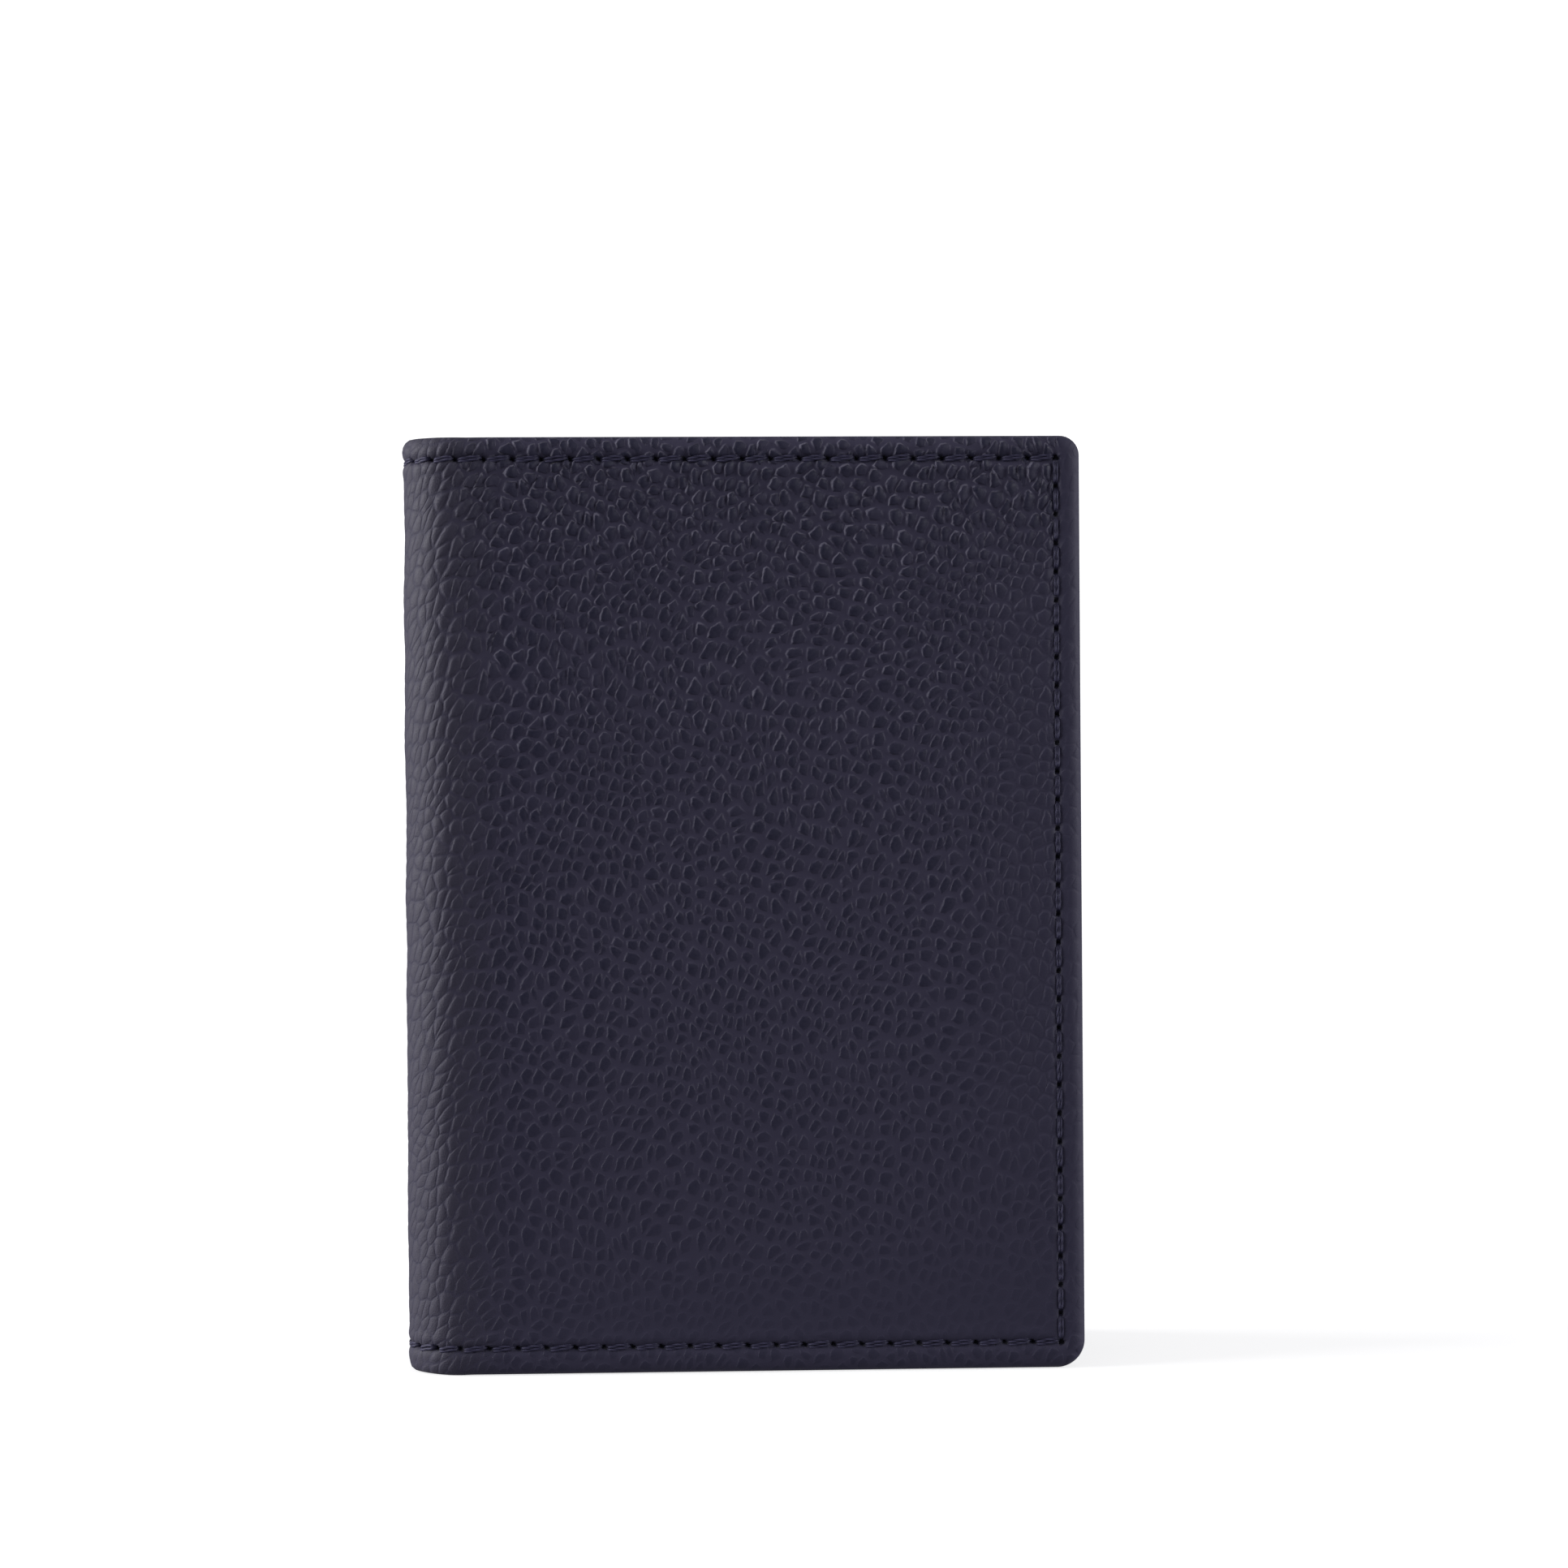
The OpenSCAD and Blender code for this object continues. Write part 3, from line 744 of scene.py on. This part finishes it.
def salpa_look(n, shader):
    place = in_millimetres(n)
    shreds = n.noise(n.vector("MULTIPLY", place, (1.0, 1.0, 0.4)), 3.0, 4.0)
    patches = n.noise(place, 0.5, 2.0)
    colour = n.mix(n.step(shreds, 0.3, 0.7), SALPA_DARK, SALPA_COLOUR)
    colour = n.mix(n.step(patches, 0.4, 0.7, 0.0, 0.35), colour, SALPA_DARK)
    dress(n, shader, colour, n.step(shreds, 0.3, 0.7, 0.72, 0.86), shreds, 0.05)


def floor_look(n, shader):
    place = n.add("ShaderNodeTexCoord").outputs["Object"]
    mottle = n.noise(place, 3.0, 2.0)
    n.tree.links.new(n.mix(mottle, FLOOR_COLOUR, FLOOR_COLOUR_2), shader.inputs["Base Color"])
    shader.inputs["Roughness"].default_value = 0.9
    shader.inputs["Specular IOR Level"].default_value = 0.0
    shader.inputs["Emission Color"].default_value = (1, 1, 1, 1)
    shader.inputs["Emission Strength"].default_value = FLOOR_GLOW


SKIN = material("pebbled_navy_leather", skin_look)
POCKET = material("fine_navy_leather", pocket_look)
LINING = material("matt_navy_lining", lining_look)
THREAD = material("twisted_navy_thread", thread_look)
CLOTH = material("navy_stem_cloth", cloth_look)
BOARD = material("grey_stiffener_board", board_look)
SALPA = material("brown_bonded_leather", salpa_look)


# ------------------------ the seams

def to_row(u, z):
    """Distance from the stitched line that runs along the bottom, up the free edge and along the top."""
    past = np.maximum(u - BEND_LEN - SEAM_X, 0)
    level = np.minimum(np.abs(z - LOW_SEAM_Z), np.abs(z - HIGH_SEAM_Z))
    beyond = np.maximum(np.maximum(LOW_SEAM_Z - z, z - HIGH_SEAM_Z), 0)
    return np.minimum(np.hypot(past, level), np.hypot(u - BEND_LEN - SEAM_X, beyond))


def from_hole(u):
    """Signed distance along u to the nearest needle hole of a row."""
    x = u - BEND_LEN
    on_bend = u - np.round(u / BEND_PITCH) * BEND_PITCH
    return np.where(x < 0, on_bend, x - np.round(x / ROW_PITCH) * ROW_PITCH)


# ------------------------ outer leather

def shell_depth(x):
    """Thickness of the leather with its turned edge, thinner round the spine where there is no board."""
    return BEND_SHELL_T + (LINING_DEPTH - BEND_SHELL_T) * smooth(x, 0, 1.5)


def groove_at(x):
    """Depth of the groove that the stitches pull into the leather. It is shallower down the free edge."""
    return GROOVE_H * (1 - 0.45 * smooth(x, SEAM_X - 1.2, SEAM_X - 0.4))


def skin_masks(u, z):
    """How strong the grain is, how far the leather swells into pillows, and how near the seam's groove is."""
    x = u - BEND_LEN
    # The grain grows stronger upwards and fades into a smooth band along the bottom
    relief = 0.6 + 1.35 * smooth(z, 5, 114) + 0.5 * smooth(z, 84, 100)
    relief -= 0.18 * smooth(x, 42, 62) * smooth(z, 108, 60)
    relief = relief * (1 - 0.6 * smooth(z + 0.08 * (60 - x), 19, 7) * smooth(x, 0, 18))
    # Outside the seam it is fainter
    relief = relief * (1 - 0.28 * smooth(z, HIGH_SEAM_Z, HIGH_SEAM_Z + 0.8))
    border = smooth(x, SEAM_X - 0.2, SEAM_X + 0.7)
    relief = relief * (1 - border) + 0.2 * border
    low_border = smooth(z, LOW_SEAM_Z + 0.3, LOW_SEAM_Z - 0.5)
    relief = relief * (1 - low_border) + 0.45 * low_border
    # It swells beside the free edge's seam, and most over the fold
    swell = 0.6 * smooth(x, 54, 65) * smooth(z, 14, 34) * smooth(z, 100, 84) * (1 - 0.6 * border)
    swell = np.maximum(swell, smooth(x, 3.5, -4.5) * (1 - 0.6 * low_border))
    # The third mask darkens the skin along the seam: painted shade beside the stitches
    return relief, swell, np.exp(-(to_row(u, z) / 0.38) ** 4)


def skin_sheet():
    """The skin laid out flat: its face, the roll round its edge, and the turned edge folded over inside."""
    seam_u = BEND_LEN + SEAM_X
    us = lines([-2 * OVERLAP_STEP, 0, BEND_LEN, seam_u - NEAR_SEAM, seam_u, END_U - SKIN_EDGE],
               [2, BEND_STEPS, round((SEAM_X - NEAR_SEAM) / PLAIN_STEP), SEAM_STEPS, 6])
    low, high = LOW_SEAM_Z + NEAR_SEAM, HIGH_SEAM_Z - NEAR_SEAM
    zs = lines([SKIN_EDGE, LOW_SEAM_Z, low, high, HIGH_SEAM_Z, HEIGHT - SKIN_EDGE],
               [7, SEAM_STEPS, round((high - low) / PLAIN_STEP), SEAM_STEPS, 6])
    hem = TURNED_W - SKIN_EDGE
    under, inside = 1 - TURNED_T / LINING_DEPTH, LEATHER_T / LINING_DEPTH
    past = [(-1.0, 1), (-hem, 1), (-hem, under), (0, under), (0, inside)]
    corners = [r - SKIN_EDGE for r in CORNER_R]
    return Sheet(us, zs, corners, edge_rows(SKIN_EDGE, ROLL_ROWS, past), left=False)


def skin_rise(sheet, place, relief, swell):
    """How far each point stands out: grain, pillows, the puffed leather beside the seam and a slow sway over
    the fold, less the stitches' groove, the needle holes and the dip of the overlap."""
    u, z, share = sheet.u, sheet.z, sheet.share
    grain = sampled(lambda n, at: flat_height(n, pebbles(n, at)), place)
    pillows = sampled(lambda n, at: pillow_height(n, pebbles(n, at)), place)
    sway = sampled(lambda n, at: n.noise(at, 0.09, 1.0), place) - 0.5
    rise = GRAIN_H * (grain - GRAIN_LEVEL) * relief * (1 - swell) + PILLOW_H * (pillows - GRAIN_LEVEL) * swell
    rise = rise * smooth(share, 0.5, 0.08)
    off_seam = to_row(u, z)
    hole = sampled(needle_holes, place)
    pulled = groove_at(u - BEND_LEN) * np.exp(-(off_seam / GROOVE_W) ** 2)
    sunk = sheet.on_face * (pulled + HOLE_H * hole)
    puff = PUFF_H * np.exp(-((off_seam - 1.1) / 0.5) ** 2) * smooth(share, 0.5, 0.2)
    rise = rise + puff + SWAY_H * sway * smooth(u, 14, 2) * smooth(share, 0.9, 0.4) - sunk
    return np.where(u < -0.01, rise - OVERLAP_DIP * (-u / OVERLAP_STEP), rise)


def outer_skin(cover):
    sheet = skin_sheet()
    u, z, share = sheet.u, sheet.z, sheet.share
    roll = np.arccos(1 - 2 * share)
    extra = ROLL_R * roll - SKIN_EDGE * np.sin(roll)
    pattern_u, pattern_z = u + sheet.way_u * extra, z + sheet.way_z * extra
    way = -1 if cover == "back" else 1
    place = np.stack([way * pattern_u, pattern_z, np.zeros_like(u)], -1)
    relief, swell, groove = skin_masks(u, z)
    relief = relief * (1 - 0.7 * smooth(share, 0.03, 0.4))
    rise = skin_rise(sheet, place, relief, swell)
    risen_u, risen_z = u + sheet.way_u * np.sin(roll) * rise, z + sheet.way_z * np.sin(roll) * rise
    depth = share * shell_depth(u - BEND_LEN) - np.cos(roll) * rise
    vectors = {"place": place, "masks": np.stack([relief, swell, groove], -1)}
    places = spot(cover, risen_u, risen_z, depth)
    piece = make_mesh(cover + "_outer_skin", places, sheet.faces, vectors, SKIN, SHARP)
    bend_with(piece, cover)
    return piece


def bend_with(piece, cover):
    """Bakes the piece's place into its mesh, the same for either cover."""
    if cover == "front":
        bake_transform(piece)
    else:
        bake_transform(piece)


# ------------------------ lining and pockets

def face_lines(first, last, step, fine_at, fine):
    """Grid lines from first to last, `step` apart, with finer ones within 1 mm of the given places."""
    stops = {first, last}
    for at in fine_at:
        stops |= {min(max(at - 1, first), last), min(max(at + 1, first), last)}
    stops = sorted(stops)
    steps = []
    for a, b in zip(stops, stops[1:]):
        near = any(abs((a + b) / 2 - at) < 1 for at in fine_at)
        steps.append(max(1, round((b - a) / (fine if near else step))))
    return lines(stops, steps)


def inner_sheet(name, cover, first_u, last_u, inset, bottom, thickness, look, mouth=None, free_end=True):
    """A sheet on a cover's inner side, whose shown face looks into the holder. bottom gives the depth of its
    hidden face along x. A mouth is a slot's folded edge: a bulge, a crease beside it, and a slight gape."""
    fine_us = [BEND_LEN + SEAM_X] if free_end else []
    first_line = first_u
    if mouth is not None:
        first_line = first_u + INNER_EDGE
        fine_us.append(BEND_LEN + mouth + 1)
    us = face_lines(first_line, last_u - INNER_EDGE, INNER_STEP, fine_us, INNER_FINE_U)
    low = inset + INNER_EDGE
    zs = face_lines(low, HEIGHT - low, INNER_STEP, [LOW_SEAM_Z, HIGH_SEAM_Z], INNER_FINE_Z)
    corners = [r - low for r in CORNER_R] if free_end else [0.2, 0.2]
    sheet = Sheet(us, zs, corners, edge_rows(INNER_EDGE, 5), left=mouth is not None)
    u, z, share = sheet.u, sheet.z, sheet.share
    x = u - BEND_LEN
    way = -1 if cover == "back" else 1
    place = np.stack([way * u, z + PATTERN_SHIFT * way, np.full_like(u, first_u)], -1)
    rise = WAVE_H * (sampled(lambda n, at: n.noise(at, 0.07, 1.0), place) - 0.5)
    if mouth is not None:
        off = x - mouth
        rise = rise + MOUTH_BULGE_H * np.exp(-((off - 0.6) / 0.5) ** 2)
        rise = rise - MOUTH_CREASE_H * np.exp(-((off - 1.5) / 0.17) ** 2)
        rise = rise + MOUTH_GAPE_H * smooth(off, 6, 0) * smooth(np.abs(z - HEIGHT / 2), 50, 30)
    off_rows = np.minimum(np.abs(z - LOW_SEAM_Z), np.abs(z - HIGH_SEAM_Z))
    off_seam = np.minimum(off_rows, np.abs(x - SEAM_X))
    rise = rise * smooth(share, 0.9, 0.5) - sheet.on_face * INNER_GROOVE_H * np.exp(-(off_seam / 0.4) ** 2)
    rise = rise - INNER_HOLE_H * sheet.on_face * inner_holes(u, z)
    depth = bottom(x) + (thickness + rise) * (1 - share)
    return make_mesh(name, spot(cover, u, z, depth), sheet.faces, {"place": place}, look, SHARP)


def inner_holes(u, z):
    """Needle holes as they come out on the inner side."""
    def dent(along, across):
        return np.exp(-(along / INNER_HOLE[0]) ** 2 - (across / INNER_HOLE[1]) ** 2)

    along = from_hole(u)
    up = z - LOW_SEAM_Z
    up = up - np.round(up / SIDE_PITCH) * SIDE_PITCH
    side = dent(up, u - BEND_LEN - SEAM_X)
    within = (z > LOW_SEAM_Z - 0.5) & (z < HIGH_SEAM_Z + 0.5)
    rows = np.maximum(dent(along, z - LOW_SEAM_Z), dent(along, z - HIGH_SEAM_Z))
    return np.maximum(rows, side * within)


def at_depth(depth):
    """A bottom that lies at one depth."""
    return lambda x: np.full_like(x, depth)


def middle_bottom(x):
    """The middle strip lies on the rear one and drops on to that one's stem."""
    drop = REAR_X + STRIP_W
    return SLOT_DEPTH + POCKET_T - (POCKET_T - STEM_T) * smooth(x, drop, drop + RAMP)


def pocket_bottom(x):
    """The foremost slot drops from the middle strip on to the stems, and past their feet."""
    drop = MIDDLE_X + STRIP_W
    over_strip = SLOT_DEPTH + STEM_T + POCKET_T - (POCKET_T - STEM_T) * smooth(x, drop, drop + RAMP)
    return over_strip - 2 * STEM_T * smooth(x, MIDDLE_FOOT_X, MIDDLE_FOOT_X + RAMP)


def inside_of(cover):
    """The lining, the slip pocket and the three card slots."""
    lining = inner_sheet(cover + "_inner_lining", cover, 0.0, END_U - LINING_INSET, LINING_INSET,
                         shell_depth, LINING_T, LINING)
    bend_with(lining, cover)
    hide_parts(cover + "_lining")
    end = END_U - POCKET_INSET
    panels = (
        ("slip_panel", "slip_pocket", SLIP_X, end, at_depth(SLIP_DEPTH)),
        ("rear_slot", "rear_card_strip", REAR_X, BEND_LEN + REAR_X + STRIP_W, at_depth(SLOT_DEPTH)),
        ("middle_slot", "middle_card_strip", MIDDLE_X, BEND_LEN + MIDDLE_X + STRIP_W, middle_bottom),
        ("foremost_slot", "card_pocket", POCKET_X, end, pocket_bottom),
    )
    for name, node, mouth, last_u, bottom in panels:
        panel = inner_sheet(f"{cover}_{name}", cover, BEND_LEN + mouth, last_u, POCKET_INSET, bottom,
                            POCKET_T, POCKET, mouth, free_end=last_u == end)
        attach(panel, cover)
        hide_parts(f"{cover}_{node}")
    return lining


def stem(cover, name, first_x, last_x, depth):
    """The cloth that carries on a card strip down to the foot of its slot."""
    node = f"{cover}_{name}_stem"
    low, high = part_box(node)
    width, height = last_x - first_x, (high.z - low.z) / MM
    edge = STEM_T / 2
    us = np.linspace(BEND_LEN + first_x + edge, BEND_LEN + last_x - edge, round(width))
    zs = np.linspace(low.z / MM + edge, high.z / MM - edge, round(height))
    sheet = Sheet(us, zs, [0.3, 0.3], edge_rows(edge, 3))
    place = np.stack([sheet.u, sheet.z, np.zeros_like(sheet.u)], -1)
    ripple = RIPPLE_H * np.sin(sheet.u * 0.9) * np.sin(sheet.z * 0.23) * (1 - sheet.share)
    places = spot(cover, sheet.u, sheet.z, depth + STEM_T * (1 - sheet.share) - np.abs(ripple))
    piece = make_mesh(f"{cover}_{name}_cloth", places, sheet.faces, {"place": place}, CLOTH, SHARP)
    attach(piece, cover)
    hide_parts(node)


# ------------------------ stitches

def tubes(cover, u, z, depth, chance):
    """Twisted two-ply strands along many short paths at once. Arrays are (paths, rings)."""
    centre = spot(cover, u, z, depth)
    outward = spot(cover, u, z, depth - 0.01) - centre
    outward /= np.linalg.norm(outward, axis=-1, keepdims=True)
    along = np.gradient(centre, axis=1)
    along /= np.linalg.norm(along, axis=-1, keepdims=True)
    across = np.cross(along, outward)
    across /= np.linalg.norm(across, axis=-1, keepdims=True)
    up = np.cross(across, along)
    step = np.linalg.norm(np.diff(centre, axis=1), axis=-1)
    run = np.concatenate([np.zeros((len(u), 1)), np.cumsum(step, axis=1)], axis=1)
    angle = np.linspace(0, 2 * math.pi, SIDES, endpoint=False)
    twist = 2 * math.pi * run[..., None] / PLY_PITCH + 2 * angle + chance[:, None, None]
    radius = STRAND_R * (1 + STRAND_TWIST * np.sin(twist))
    ring = across[:, :, None] * np.cos(angle)[:, None] + up[:, :, None] * np.sin(angle)[:, None]
    places = centre[:, :, None] + radius[..., None] * ring
    turned = np.broadcast_to(angle, radius.shape)
    run = np.broadcast_to(run[..., None], radius.shape)
    random = np.broadcast_to(chance[:, None, None], radius.shape)
    return places, np.stack([run, turned, random], -1)


def tube_faces(paths):
    """The sides and the two ends of as many tubes as there are paths."""
    faces = []
    for p in range(paths):
        start = p * RINGS * SIDES
        for r in range(RINGS - 1):
            for s in range(SIDES):
                a, b = start + r * SIDES + s, start + r * SIDES + (s + 1) % SIDES
                faces.append((a, b, b + SIDES, a + SIDES))
        faces.append(tuple(range(start, start + SIDES)))
        faces.append(tuple(range(start + (RINGS - 1) * SIDES, start + RINGS * SIDES))[::-1])
    return faces


def stitch_ends():
    """(u, z) of both ends of every stitch of a cover: the two rows, then the side."""
    ends = []
    us, zs = hole_us(), hole_zs()
    for z in (LOW_SEAM_Z, HIGH_SEAM_Z):
        ends += [((a, z), (b, z)) for a, b in zip(us, us[1:])]
    u = BEND_LEN + SEAM_X
    return ends + [((u, a), (u, b)) for a, b in zip(zs, zs[1:])]


def seam(cover):
    """Every stitch of a cover, outside and inside, as two strands that lie side by side."""
    ends = np.array(stitch_ends())
    first, second = ends[:, 0], ends[:, 1]
    level = (first[:, 1] == second[:, 1])[:, None]
    t = np.linspace(0, 1, RINGS)
    sink = 1 - smooth(t, 0.0, 0.16) + smooth(t, 0.84, 1.0)
    random = np.random.default_rng(STITCH_SEED)
    places, vectors = [], []
    run = second - first
    length = np.linalg.norm(run, axis=1, keepdims=True)
    side_u, side_z = -run[:, 1:] / length, run[:, :1] / length
    belly = STRAND_BELLY * np.sin(math.pi * t)
    part = STITCH_INSET + (1 - 2 * STITCH_INSET) * t
    lean = np.where(level, ROW_LEAN * (t - 0.5), SIDE_SHIFT)
    shape = (len(ends), 1)
    for inner in (False, True):
        for strand in (-1, 1):
            apart = STRAND_GAP + belly + STITCH_JITTER * random.standard_normal(shape)
            offset = lean + strand * np.where(level, 1.0, SIDE_GAP) * apart
            u = first[:, :1] + run[:, :1] * part + side_u * offset
            z = first[:, 1:] + run[:, 1:] * part + side_z * offset
            x = u - BEND_LEN
            if inner:
                surface = np.where(x > SLIP_X - 2, inner_depth(x), shell_depth(x) + LINING_T)
                depth = surface - INNER_SINK * sink
            else:
                surface = STITCH_DEPTH * groove_at(x) + STITCH_JITTER * random.standard_normal(shape)
                depth = surface + OUTER_SINK * sink
            chance = random.uniform(0, 2 * math.pi, len(ends))
            made, stored_values = tubes(cover, u, z, depth, chance)
            places.append(made.reshape(-1, 3))
            vectors.append(stored_values.reshape(-1, 3))
    places, vectors = np.concatenate(places), np.concatenate(vectors)
    faces = tube_faces(len(places) // (RINGS * SIDES))
    piece = make_mesh(cover + "_seam_thread", places, faces, {"place": vectors}, THREAD)
    bend_with(piece, cover)
    return piece


# ------------------------ the holder

def paint(node, look):
    """Gives a carried-over CAD node its material."""
    materials = frame["nodes"][node].data.materials
    materials.clear()
    materials.append(look)


skins, linings, seams = {}, {}, {}
for cover in COVERS:
    skins[cover] = outer_skin(cover)
    linings[cover] = inside_of(cover)
    stem(cover, "rear", REAR_X + STRIP_W, REAR_FOOT_X, SLOT_DEPTH)
    stem(cover, "middle", MIDDLE_X + STRIP_W, MIDDLE_FOOT_X, SLOT_DEPTH + STEM_T)
    seams[cover] = seam(cover)
    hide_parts(cover + "_cover_leather", cover + "_turned_edge")
    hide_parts(cover + "_stitching")
    paint(cover + "_stiffener", BOARD)
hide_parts("spine_leather", "spine_turned_edges")
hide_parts("spine_lining")
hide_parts("spine_stitching")
paint("spine_reinforcement", SALPA)


# ------------------------ the studio

def cyclorama():
    """A round pale floor that sweeps up into a wall, so that every view has the same plain background."""
    arc = [math.radians(a) for a in range(0, 91, 6)]
    profile = [(FLOOR_R + COVE_R * math.sin(a), COVE_R * (1 - math.cos(a))) for a in arc]
    profile.append((FLOOR_R + COVE_R, WALL_H))
    turns = FLOOR_SIDES
    angles = np.linspace(0, 2 * math.pi, turns, endpoint=False)
    verts = [(0.0, 0.0, 0.0)]
    for r, z in profile:
        verts += [(r * math.cos(a), r * math.sin(a), z) for a in angles]
    faces = [(0, 1 + i, 1 + (i + 1) % turns) for i in range(turns)]
    for ring in range(len(profile) - 1):
        base = 1 + ring * turns
        for i in range(turns):
            j = (i + 1) % turns
            faces.append((base + i, base + turns + i, base + turns + j, base + j))
    mesh = bpy.data.meshes.new("cyclorama")
    mesh.from_pydata(verts, [], faces)
    mesh.shade_smooth()
    mesh.materials.append(material("pale_floor", floor_look))
    stage = bpy.data.objects.new("cyclorama", mesh)
    bpy.context.scene.collection.objects.link(stage)
    stage.visible_glossy = False
    stage.visible_diffuse = False
    stage.visible_shadow = False


def softbox(name, place, size, power):
    lamp = bpy.data.lights.new(name, "AREA")
    lamp.shape = "RECTANGLE"
    lamp.size, lamp.size_y = size
    lamp.energy = power
    holder = bpy.data.objects.new(name, lamp)
    holder.location = place
    holder.rotation_euler = (Vector(LAMP_AIM) - Vector(place)).to_track_quat("-Z", "Y").to_euler()
    holder.visible_camera = False
    bpy.context.scene.collection.objects.link(holder)


cyclorama()
for name, (place, size, power) in LAMPS.items():
    softbox(name, place, size, power)

world = bpy.data.worlds.new("studio")
world.use_nodes = True
world.node_tree.nodes["Background"].inputs["Color"].default_value = WORLD_COLOUR
bpy.context.scene.world = world
bpy.context.scene.view_settings.view_transform = "Standard"

camera = bpy.data.objects.new("camera", bpy.data.cameras.new("camera"))
camera.data.sensor_width = SENSOR_W
camera.data.lens = LENS
camera.data.clip_start, camera.data.clip_end = 0.01, 10
camera.location = CAMERA_PLACE
camera.rotation_euler = [math.radians(turn) for turn in CAMERA_TURN]
bpy.context.scene.collection.objects.link(camera)
bpy.context.scene.camera = camera
